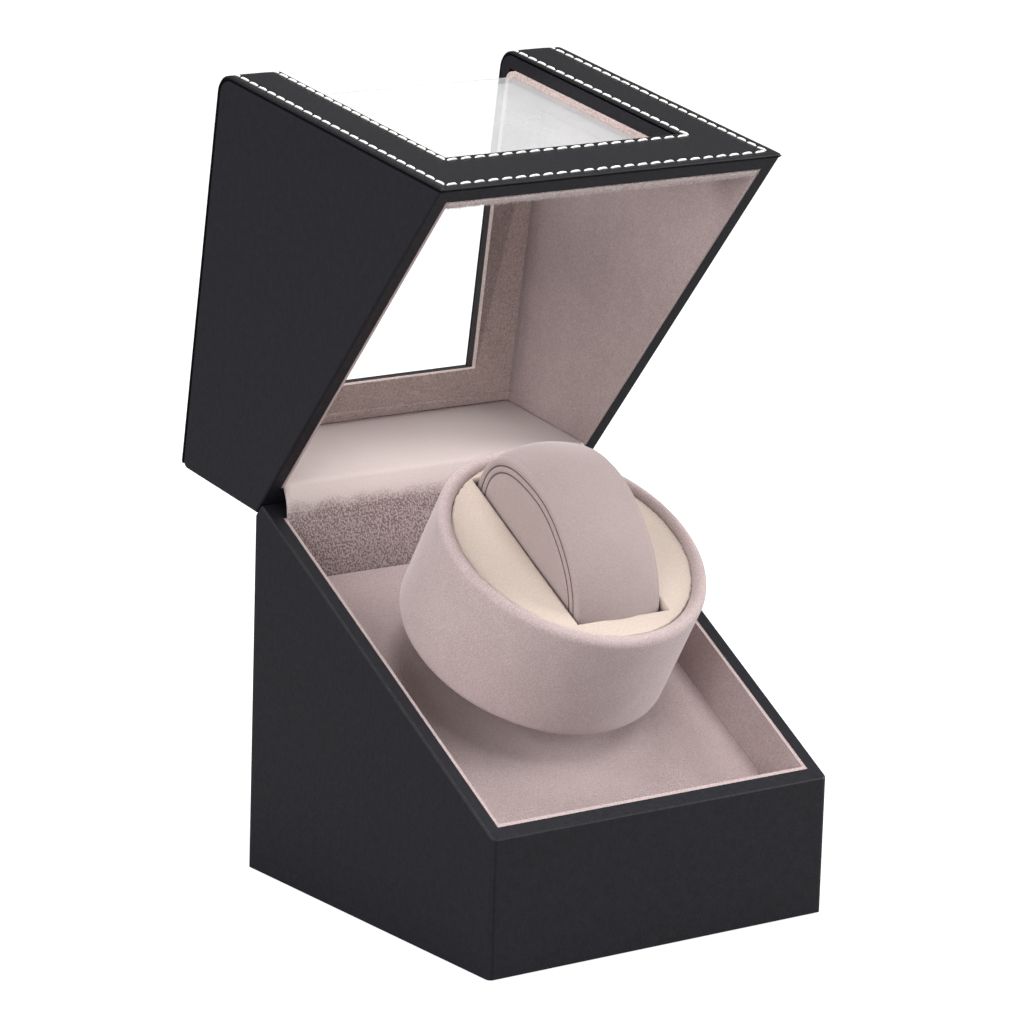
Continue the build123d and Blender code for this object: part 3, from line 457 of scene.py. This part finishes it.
def sheathe(bm, cells, vert, edge_material=0):
    """Top, underside and edges over a set of grid cells, with vert(i, j, top) giving each corner."""
    for i, j in cells:
        corners = ((i, j), (i + 1, j), (i + 1, j + 1), (i, j + 1))
        bm.faces.new([vert(a, b, True) for a, b in corners])
        bm.faces.new([vert(a, b, False) for a, b in reversed(corners)])
        sides = (((i, j - 1), 0, 1), ((i + 1, j), 1, 2), ((i, j + 1), 2, 3), ((i - 1, j), 3, 0))
        for beyond, p, q in sides:
            if beyond not in cells:
                a, b = corners[p], corners[q]
                edge = bm.faces.new((vert(*a, True), vert(*a, False), vert(*b, False), vert(*b, True)))
                edge.material_index = edge_material


def outside(x, y, half_x, low_y, high_y):
    """How far a point is outside a rectangle centred on x = 0, and 0 inside it."""
    dx = abs(x) - half_x
    dy = max(low_y - y, y - high_y)
    return math.hypot(max(dx, 0), max(dy, 0)) if dx > 0 or dy > 0 else 0.0


def rolled(away, roll):
    """How far a surface has dropped at a distance away from an edge of that roll radius."""
    return roll - math.sqrt(max(0.0, roll ** 2 - (roll - away) ** 2)) if away < roll else 0.0


# ---------------------------------------------------------------- cup
def cup_velvet():
    """The tub, with a rounded foot and a rolled lip, turned round the deck's axis."""
    segments = 160
    wobble = 0.10 * MM
    low = CUP_BASE
    foot = 2.5 * MM
    lip = (CUP_R - CUP_IN) / 2
    hub = 22.0 * MM
    ledge_in = CUP_IN - 1.8 * MM
    floor_top = 0.3 * MM
    bore = 2.0 * MM
    profile = [(hub, low + 1.0 * MM), (hub, low + 0.3 * MM), (hub + 0.4 * MM, low)]
    profile += straight(profile[-1], (CUP_R - foot, low), 6)
    profile += arc(CUP_R - foot, low + foot, foot, -90, 0, 8)
    profile += straight(profile[-1], (CUP_R, CUP_TOP - lip), 18)
    profile += arc(CUP_R - lip, CUP_TOP - lip, lip, 0, 180, 16)
    profile += straight(profile[-1], (CUP_IN, LEDGE), 4)
    profile += [(CUP_IN, LEDGE), (ledge_in, LEDGE), (ledge_in, floor_top), (bore, floor_top)]
    profile += [(bore, low + 1.0 * MM)]
    bm = bmesh.new()
    rings = []
    for r, h in profile:
        ring = []
        for i in range(segments):
            a = 2 * math.pi * i / segments
            p = Vector((r * math.cos(a), r * math.sin(a), h))
            uneven = noise.noise(Vector((p.x, p.y, h * 2)) * 45)
            p = p + Vector((math.cos(a), math.sin(a), 0)) * wobble * uneven
            ring.append(bm.verts.new(DECK @ p))
        rings.append(ring)
    skin(bm, rings + rings[:1])
    return finish_mesh("cup_velvet", bm, MATERIALS["taupe_velvet"])


def cup_disc():
    """Padded disc: a grid over the circle, with the pillow's slot cut out and both edges rolled down."""
    bm = bmesh.new()
    radius = CUP_IN + 0.05 * MM
    lines = spread(-radius, radius, 0.6 * MM)
    roll = 0.4 * MM
    underside = LEDGE + 0.05 * MM
    verts = {}

    def inside(x, v):
        if math.hypot(x, v) > radius:
            return False
        return abs(x) > SLOT_HALF or abs(v - PILLOW_V) > SLOT_REACH

    def edge_distance(x, v):
        slot = outside(x, v - PILLOW_V, SLOT_HALF, -SLOT_REACH, SLOT_REACH)
        return max(0.0, min(radius - math.hypot(x, v), slot))

    def vert(i, j, top):
        key = (i, j, top)
        if key not in verts:
            x, v = lines[i], lines[j]
            away = edge_distance(x, v)
            puff = 0.25 * MM * noise.noise(Vector((x, v, 0)) * 60)
            h = DISC_TOP - rolled(away, roll) + puff * min(1.0, away / (4 * MM)) if top else underside
            verts[key] = bm.verts.new(DECK @ Vector((x, v, h)))
        return verts[key]

    cells = set()
    for i in range(len(lines) - 1):
        for j in range(len(lines) - 1):
            if all(inside(lines[a], lines[b]) for a in (i, i + 1) for b in (j, j + 1)):
                cells.add((i, j))
    sheathe(bm, cells, vert)
    return finish_mesh("cup_disc_cushion", bm, MATERIALS["cream_velvet"])


# ---------------------------------------------------------------- pillow
def pillow():
    """Oval pillow: two gently dished side faces, two seams round each, and a full middle. The seams' groove
    faces take a near-black velvet, painted shade.
    """
    bm = bmesh.new()
    around = 180
    half = PILLOW_HALF
    dish = 0.40 * MM
    face_rings = 7
    bulge = 2.9 * MM
    # the second slot is the seam grooves' painted shade
    plain, dark = 0, 1
    # (x, distance out from the oval, share of the way to the centre, material index)
    side = []
    for i in range(face_rings):
        share = 1.0 - i / face_rings
        side.append((-half + dish * (1 - share) ** 2, -5.2 * MM, share, plain))
    for seam in (4.3 * MM, 2.2 * MM):
        side.append((-half + dish, -seam - 0.40 * MM, 0, plain))
        side.append((-half + 0.55 * MM, -seam - 0.22 * MM, 0, plain))
        side.append((-half + 1.05 * MM, -seam, 0, dark))
        side.append((-half + 0.55 * MM, -seam + 0.22 * MM, 0, plain))
        side.append((-half + 0.30 * MM, -seam + 0.60 * MM, 0, plain))
        side.append((-half + 0.25 * MM, -seam + 1.05 * MM, 0, plain))
    for px, out in arc(-half + 1.75 * MM, -0.95 * MM, 1.40 * MM, 165, 95, 6):
        side.append((px, out, 0, plain))
    middle = []
    reach = half - 1.0 * MM
    for i in range(25):
        x = (half - 2.2 * MM) * (i / 12 - 1)
        middle.append((x, 0.35 * MM + bulge * (1 - (x / reach) ** 2), 0, plain))
    outline = side + middle + [(-x, *rest) for x, *rest in reversed(side)]
    lean = Matrix.Rotation(PILLOW_LEAN, 2)
    rings = []
    for x, out, share, _ in outline:
        ring = []
        for k in range(around):
            a = 2 * math.pi * k / around
            p = Vector((PILLOW_A * math.cos(a), PILLOW_B * math.sin(a)))
            normal = Vector((math.cos(a) / PILLOW_A, math.sin(a) / PILLOW_B)).normalized()
            q = lean @ ((p + normal * out) * (1 - share))
            soft = noise.noise(Vector((x * 40, q.x * 55, q.y * 55)))
            q = q * (1 + 0.010 * soft)
            uneven = 0.35 * MM * noise.noise(Vector((q.x * 70, q.y * 70, x * 30 + 3)))
            place = Vector((x + uneven * (1 - share), q.x + PILLOW_V, q.y + PILLOW_H))
            ring.append(bm.verts.new(DECK @ place))
        rings.append(ring)
    for one, two, faces in zip(outline, outline[1:], skin(bm, rings)):
        for face in faces:
            face.material_index = one[3] or two[3]
    for ring in (rings[0], rings[-1]):
        bmesh.ops.pointmerge(bm, verts=ring, merge_co=sum((v.co for v in ring), Vector()) / around)
    return finish_mesh("pillow", bm, PILLOW_VELVET, SEAM_SHADE_VELVET)


# ---------------------------------------------------------------- lid band and stitches
FACE_LOW = FRONT_HEIGHT + 0.2 * MM
FRONT_RUN = LID_TOP - LID_CORNER - FACE_LOW
CORNER_RUN = math.pi / 2 * LID_CORNER
TOP_RUN = BACK - 1.0 * MM - (FRONT + LID_CORNER)
BAND_RUN = FRONT_RUN + CORNER_RUN + TOP_RUN


def on_band(x, t, out):
    """A point t along the band's run up the front and back over the top, out from its face, lid closed."""
    if t <= FRONT_RUN:
        return Vector((x, FRONT - out, FACE_LOW + t))
    if t <= FRONT_RUN + CORNER_RUN:
        a = (t - FRONT_RUN) / LID_CORNER
        r = LID_CORNER + out
        return Vector((x, FRONT + LID_CORNER - r * math.cos(a), LID_TOP - LID_CORNER + r * math.sin(a)))
    return Vector((x, FRONT + LID_CORNER + t - FRONT_RUN - CORNER_RUN, LID_TOP + out))


SILL_T = WINDOW_SILL - FACE_LOW
REAR_T = FRONT_RUN + CORNER_RUN + WINDOW_REAR - (FRONT + LID_CORNER)
# how far each row of stitches is from its edge, the inner one beside the window and at its ends
INNER_ROW = 1.9 * MM
INNER_ROW_END = 2.4 * MM
OUTER_ROW = 3.3 * MM
PITCH = 4.8 * MM
STITCH = 4.35 * MM
REAR_ROLL = 3.0 * MM


def row_loops():
    """The two rows of stitches as closed rectangles (x0, x1, t0, t1) in the band's own plane."""
    wide = WINDOW_HALF + INNER_ROW
    inner = (-wide, wide, SILL_T - INNER_ROW_END, REAR_T + INNER_ROW_END)
    outer = (-SIDE + OUTER_ROW, SIDE - OUTER_ROW, OUTER_ROW, BAND_RUN - OUTER_ROW)
    return inner, outer


def row_distance(x, t, loop):
    """How far a point of the band is from a row of stitches."""
    x0, x1, t0, t1 = loop
    dx = max(x0 - x, x - x1)
    dt = max(t0 - t, t - t1)
    if dx > 0 and dt > 0:
        return math.hypot(dx, dt)
    return abs(max(dx, dt))


def stitched_band():
    """Folded leather band: full between the rows, drawn in along them, rolled at its edges."""
    bm = bmesh.new()
    fine = 0.55 * MM
    roll = 0.55 * MM
    groove_depth, groove_width = 0.20 * MM, 0.75 * MM
    fullness = 0.16 * MM
    xs = sorted(set(
        [round(v, 7) for v in spread(-SIDE, -WINDOW_HALF, fine)]
        + [round(v, 7) for v in spread(-WINDOW_HALF, WINDOW_HALF, 1.2 * MM)]
        + [round(v, 7) for v in spread(WINDOW_HALF, SIDE, fine)]
    ))
    ts = sorted(set(
        [round(v, 7) for v in spread(0, SILL_T, fine)]
        + [round(v, 7) for v in spread(SILL_T, REAR_T, 1.0 * MM)]
        + [round(v, 7) for v in spread(REAR_T, BAND_RUN, fine)]
    ))
    loops = row_loops()
    verts = {}

    def edge_distance(x, t):
        outer = min(SIDE - abs(x), t, BAND_RUN - t)
        return max(0.0, min(outer, outside(x, t, WINDOW_HALF, SILL_T, REAR_T)))

    def height(x, t):
        away = edge_distance(x, t)
        drop = rolled(away, roll)
        past = (t - BAND_RUN + REAR_ROLL) / REAR_ROLL
        if past > 0:
            drop = max(drop, (BAND - 0.1 * MM) * (1 - math.sqrt(max(0.0, 1 - past ** 2))))
        groove = sum(
            groove_depth * math.exp(-(row_distance(x, t, loop) / groove_width) ** 2) for loop in loops)
        full = fullness * min(1.0, away / (6 * MM)) + 0.05 * MM * noise.noise(Vector((x, t, 0)) * 90)
        return -drop - groove + full

    def tucked(x, t):
        """The underside's edges, drawn in so that a dark line shows below the fold."""
        tuck = 0.5 * MM
        near = 0.01 * MM
        in_window = abs(x) < WINDOW_HALF + near and SILL_T - near < t < REAR_T + near
        if in_window and abs(abs(x) - WINDOW_HALF) < near:
            x += math.copysign(tuck, x)
        if in_window and abs(t - SILL_T) < near:
            t -= tuck
        if in_window and abs(t - REAR_T) < near:
            t += tuck
        x = max(-SIDE + tuck, min(SIDE - tuck, x))
        return x, max(tuck, min(BAND_RUN - tuck, t))

    def vert(i, j, top):
        key = (i, j, top)
        if key not in verts:
            x, t = xs[i], ts[j]
            out = height(x, t)
            if not top:
                x, t = tucked(x, t)
                out = -BAND + 0.03 * MM
            verts[key] = bm.verts.new(OPEN @ on_band(x, t, out))
        return verts[key]

    cells = set()
    for i in range(len(xs) - 1):
        for j in range(len(ts) - 1):
            x, t = (xs[i] + xs[i + 1]) / 2, (ts[j] + ts[j + 1]) / 2
            if abs(x) > WINDOW_HALF or not SILL_T < t < REAR_T:
                cells.add((i, j))
    # the edge faces take the near-black fold leather, painted shade
    sheathe(bm, cells, vert, edge_material=1)
    return finish_mesh("stitched_band_leather", bm, BAND_LEATHER, FOLD_SHADE_LEATHER)


def stitch_places():
    """(x, t, direction) of each stitch, round both loops."""
    for x0, x1, t0, t1 in row_loops():
        corners = [(x0, t0), (x1, t0), (x1, t1), (x0, t1)]
        for (ax, at), (bx, bt) in zip(corners, corners[1:] + corners[:1]):
            run = math.hypot(bx - ax, bt - at)
            count = round(run / PITCH)
            for i in range(count):
                share = (i + 0.5) / count
                yield ax + (bx - ax) * share, at + (bt - at) * share, ((bx - ax) / run, (bt - at) / run)


def stitches():
    """Every stitch is a short thread that dives into the leather at both ends."""
    bm = bmesh.new()
    radius = 0.43 * MM
    sides, steps = 8, 11
    slant = math.radians(7)
    proud, dive = 0.06 * MM, 0.80 * MM
    for x, t, (dx, dt) in stitch_places():
        sx = dx * math.cos(slant) - dt * math.sin(slant)
        st = dx * math.sin(slant) + dt * math.cos(slant)
        rings = []
        for i in range(steps + 1):
            along = (i / steps - 0.5) * STITCH
            end = abs(i / steps - 0.5) * 2
            lift = proud - dive * end ** 4
            thick = radius * (1 - 0.30 * end ** 6)
            ring = []
            for k in range(sides):
                a = 2 * math.pi * k / sides
                off = thick * math.cos(a)
                px = x + sx * along - st * off
                pt = t + st * along + sx * off
                ring.append(bm.verts.new(OPEN @ on_band(px, pt, lift + thick * math.sin(a) * 0.85)))
            rings.append(ring)
        skin(bm, rings, capped=True)
    return finish_mesh("stitches", bm, THREAD)


# ---------------------------------------------------------------- front lining with its fuzzy rim
def rim_height(u):
    """The sloping rim's height at u behind the lid's front board, with the lid shut."""
    return FRONT_HEIGHT + (LINING_FRONT + u - FRONT) * math.tan(SLOPE)


def front_lining():
    """The card behind the lid's front bar, with its velvet turned thickly over the rim."""
    bm = bmesh.new()
    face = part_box("lid_front_lining")
    thick = 1.7 * MM
    proud = 1.3 * MM
    proud_over = 3.2 * MM
    high = 14.2 * MM
    # (u, w): u back from the front board, w up from the rim
    profile = [(0.05 * MM, high), (0.05 * MM, 1.4 * MM)]
    profile += arc(1.45 * MM, 1.50 * MM, 1.35 * MM, 180, 360, 14)
    for w in spread(1.9 * MM, 9 * MM, 0.6 * MM):
        profile.append((thick + proud * math.exp(-(w / proud_over) ** 2), w))
    profile += [(thick, high)]
    half = min(-face[0].x, face[1].x)
    rings = []
    for x in spread(-half, half, 0.45 * MM):
        ring = []
        for u, w in profile:
            at = Vector((x, u, w))
            fuzz = 0.28 * MM * noise.noise(at * 900) + 0.2 * MM * noise.noise(at * 260)
            grow = fuzz if u > 0.2 * MM and w < 9 * MM else 0.0
            lift = rim_height(u) + w - min(0.0, grow) * 0.5
            ring.append(bm.verts.new(OPEN @ Vector((x, LINING_FRONT + u + grow, lift))))
        rings.append(ring)
    skin(bm, rings, capped=True)
    return finish_mesh("lid_front_velvet", bm, MATERIALS["taupe_velvet"])


def rim_pile():
    """Short loose fibres in three layers on the rim of the front lining, lying inward along the rim,
    coloured far lighter than the lining as a painted highlight.
    """
    rng = random.Random(11)
    sides = 3
    bm = bmesh.new()
    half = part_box("lid_front_lining")[1].x
    for lift in (0.30 * MM, 0.55 * MM, 0.85 * MM):
        for x in spread(-half + 0.3 * MM, half - 0.3 * MM, 0.15 * MM):
            root_u = rng.uniform(0.1, 0.9) * MM
            reach = rng.uniform(1.7, 2.9) * MM
            slant = rng.uniform(-0.45, 0.45) * MM
            rise = rng.uniform(-0.10, 0.45) * MM
            thick = rng.uniform(0.07, 0.12) * MM
            rings = []
            for share, width in ((0.0, 1.0), (0.6, 0.75), (1.0, 0.15)):
                u = root_u + reach * share
                w = lift + rise * share ** 2
                ring = []
                for k in range(sides):
                    a = 2 * math.pi * k / sides
                    side = thick * width * math.cos(a)
                    up = thick * width * math.sin(a)
                    p = Vector((x + slant * share + side, LINING_FRONT + u, rim_height(u) + w + up))
                    ring.append(bm.verts.new(OPEN @ p))
                rings.append(ring)
            skin(bm, rings, capped=True)
    return finish_mesh("lid_front_pile", bm, PILE_PAINTED_HIGHLIGHT)


# ---------------------------------------------------------------- velvet over the back walls
WALL_STEPS, GAP_STEPS, LID_STEPS = 14, 12, 16
GAP_BOW = 0.9 * MM


def back_path():
    """(y, z) points up the base's back wall, across the hinge gap and along the lid's back wall."""
    rim_z = HINGE.z - (HINGE.y - LINED_BACK) * math.tan(SLOPE)
    deck_z = DECK_AT.z + (LINED_BACK - DECK_AT.y) * math.tan(SLOPE) - PANEL_DROP / math.cos(SLOPE)
    turn = Matrix.Rotation(-LID_OPEN, 2)
    pin = Vector((HINGE.y, HINGE.z))
    low = Vector((LINED_BACK, deck_z - 1.0 * MM))
    knee = Vector((LINED_BACK, rim_z - 0.6 * MM))
    far_knee = pin + turn @ (Vector((LINED_BACK, rim_z + 0.8 * MM)) - pin)
    high = pin + turn @ (Vector((LINED_BACK, LID_TOP - BACK_TOP_DROP)) - pin)
    points = [low.lerp(knee, i / WALL_STEPS) for i in range(WALL_STEPS)]
    across = far_knee - knee
    out = Vector((-across.y, across.x)).normalized()
    for i in range(GAP_STEPS + 1):
        t = i / GAP_STEPS
        points.append(knee + across * t + out * GAP_BOW * math.sin(math.pi * t))
    points += [far_knee.lerp(high, i / LID_STEPS) for i in range(1, LID_STEPS + 1)]
    return points, knee, far_knee


def back_wall_velvet():
    """One sheet over both back walls and the gap. Its nap attribute is 1 where it is rubbed up, low down."""
    points, knee, far_knee = back_path()
    bm = bmesh.new()
    half = LINED_X - 0.1 * MM
    xs = spread(-half, half, 1.6 * MM)
    nap = bm.verts.layers.float.new("nap")
    runs = [0.0]
    for p, q in zip(points, points[1:]):
        runs.append(runs[-1] + (q - p).length)
    fade = (far_knee - knee).length * 0.45
    fade_from = runs[WALL_STEPS] + fade * 0.3
    layers = []
    for depth in (0.0, LINING):
        rows = []
        for i, p in enumerate(points):
            a, b = points[max(0, i - 1)], points[min(len(points) - 1, i + 1)]
            along = (b - a).normalized()
            inward = Vector((along.y, -along.x))
            rows.append([])
            for x in xs:
                soft = 0.0 if depth else 0.12 * MM * noise.noise(Vector((x, p.x, p.y)) * 130)
                q = p + inward * (depth + soft)
                v = bm.verts.new((x, q.x, q.y))
                past = (runs[i] - fade_from) / fade + 0.35 * noise.noise(Vector((x, 0, runs[i])) * 160)
                v[nap] = min(1.0, max(0.0, 1.0 - past))
                rows[-1].append(v)
        layers.append(rows)
    front, back = layers
    last = len(points) - 1
    for i in range(last):
        for j in range(len(xs) - 1):
            bm.faces.new((front[i][j], front[i][j + 1], front[i + 1][j + 1], front[i + 1][j]))
            bm.faces.new((back[i][j], back[i + 1][j], back[i + 1][j + 1], back[i][j + 1]))
        for j in (0, len(xs) - 1):
            bm.faces.new((front[i][j], front[i + 1][j], back[i + 1][j], back[i][j]))
    for i in (0, last):
        for j in range(len(xs) - 1):
            bm.faces.new((front[i][j], back[i][j], back[i][j + 1], front[i][j + 1]))
    obj = finish_mesh("back_wall_velvet", bm, BACK_VELVET)
    start = (0, knee.x, knee.y)
    end = (0, far_knee.x, far_knee.y)
    return obj, (2 * half, runs[-1]), start, end


# ---------------------------------------------------------------- pieces on the frame
for entry in frame["record"]["subparts"]:
    dress(entry["node"], MATERIALS[entry["material_slot"]])
dress("window_frame_card", COARSE_VELVET)
for node in (
    "base_left_lining", "base_right_lining", "base_front_lining", "mounting_deck",
    "lid_left_lining", "lid_right_lining", "window_frame_card",
):
    soften(node)

shell = cup_velvet()
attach(shell, "cup")
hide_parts("cup_shell")

disc = cup_disc()
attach(disc, "cup")
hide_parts("cup_disc")

cushion = pillow()
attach(cushion, "pillow")
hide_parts("pillow_cushion", "pillow_left_panel", "pillow_right_panel")

band = stitched_band()
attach(band, "lid")
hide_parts("stitched_band")

sewing = stitches()
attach(sewing, "lid")

fringe = front_lining()
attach(fringe, "lid")
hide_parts("lid_front_lining")

pile = rim_pile()
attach(pile, "lid")

sheet, flat, start, end = back_wall_velvet()
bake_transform(sheet)
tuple(start)
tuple(end)
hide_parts("hinge_strip_base_edge", "hinge_strip_lid_edge", "base_back_lining", "lid_back_lining")


# ---------------------------------------------------------------- stage, light and camera
AMBIENT = 0.28
BACKDROP = 1.05
FLOOR_GLOW = 0.86


def by_ray(tree, low, high, kinds):
    """A value that is high for rays of those kinds and low for the rest."""
    path = tree.nodes.new("ShaderNodeLightPath")
    either = path.outputs[kinds[0]]
    for kind in kinds[1:]:
        most = tree.nodes.new("ShaderNodeMath")
        most.operation = "MAXIMUM"
        tree.links.new(either, most.inputs[0])
        tree.links.new(path.outputs[kind], most.inputs[1])
        either = most.outputs[0]
    value = tree.nodes.new("ShaderNodeMapRange")
    value.inputs["To Min"].default_value = low
    value.inputs["To Max"].default_value = high
    tree.links.new(either, value.inputs["Value"])
    return value.outputs["Result"]


def floor():
    """Pale and plain, and lit up to the backdrop's white only as the camera sees it."""
    bm = bmesh.new()
    bmesh.ops.create_grid(bm, x_segments=1, y_segments=1, size=6.0)
    s = Shader("pale_floor", Roughness=0.9, Specular_IOR_Level=0.0)
    s.colour(s.two_tone(s.noise(0.4), grey(0.30), grey(0.31)))
    s.bsdf.inputs["Emission Color"].default_value = (1, 1, 1, 1)
    glow = by_ray(s.tree, 0.0, FLOOR_GLOW, ["Is Camera Ray"])
    s.link(glow, s.bsdf.inputs["Emission Strength"])
    finish_mesh("floor", bm, s.material)


def world():
    """A white backdrop that lights the box much less than it shows."""
    scene_world = bpy.data.worlds.new("studio")
    scene_world.use_nodes = True
    bpy.context.scene.world = scene_world
    tree = scene_world.node_tree
    background = tree.nodes["Background"]
    strength = by_ray(tree, AMBIENT, BACKDROP, ["Is Camera Ray", "Is Transmission Ray"])
    tree.links.new(strength, background.inputs["Strength"])
    background.inputs["Color"].default_value = (1, 1, 1, 1)


def softbox(name, place, aim, size, power):
    """A lamp panel, with its power in watts."""
    data = bpy.data.lights.new(name, "AREA")
    data.shape = "RECTANGLE"
    data.size, data.size_y = size
    data.energy = power
    obj = bpy.data.objects.new(name, data)
    obj.location = place
    obj.rotation_euler = (Vector(aim) - Vector(place)).to_track_quat("-Z", "Y").to_euler()
    bpy.context.scene.collection.objects.link(obj)


def camera():
    """Seen from the front left, a little above the base."""
    azimuth, elevation, roll = math.radians(36.65), math.radians(14.07), math.radians(1.79)
    distance, across, rise = 1.640, -0.0060, 0.1138
    flat = math.cos(elevation)
    back = Vector((-math.sin(azimuth) * flat, -math.cos(azimuth) * flat, math.sin(elevation)))
    right = (-back).cross(Vector((0, 0, 1))).normalized()
    up = right.cross(-back)
    right, up = right * math.cos(roll) + up * math.sin(roll), up * math.cos(roll) - right * math.sin(roll)
    data = bpy.data.cameras.new("camera")
    data.sensor_width = 36.0
    data.lens = 191.36
    data.clip_start, data.clip_end = 0.05, 50.0
    obj = bpy.data.objects.new("camera", data)
    turn = Matrix((right, up, back)).transposed().to_4x4()
    obj.matrix_world = Matrix.Translation(back * distance + right * across + up * rise) @ turn
    bpy.context.scene.collection.objects.link(obj)
    bpy.context.scene.camera = obj


floor()
world()
softbox("key", (0.35, -1.0, 1.45), (0, 0, 0.12), (0.7, 0.7), 10.5)
softbox("left", (-1.40, -0.95, 0.55), (0, 0, 0.16), (0.8, 0.9), 16)
softbox("left_rear", (-1.85, 0.35, 0.95), (0, 0, 0.16), (0.8, 0.8), 22)
softbox("right", (1.65, -0.70, 0.55), (0, 0, 0.12), (0.8, 1.0), 33)
softbox("top", (0.05, 0.10, 1.8), (0, 0, 0.12), (0.8, 0.8), 25)
camera()
bpy.context.scene.view_settings.view_transform = "Standard"
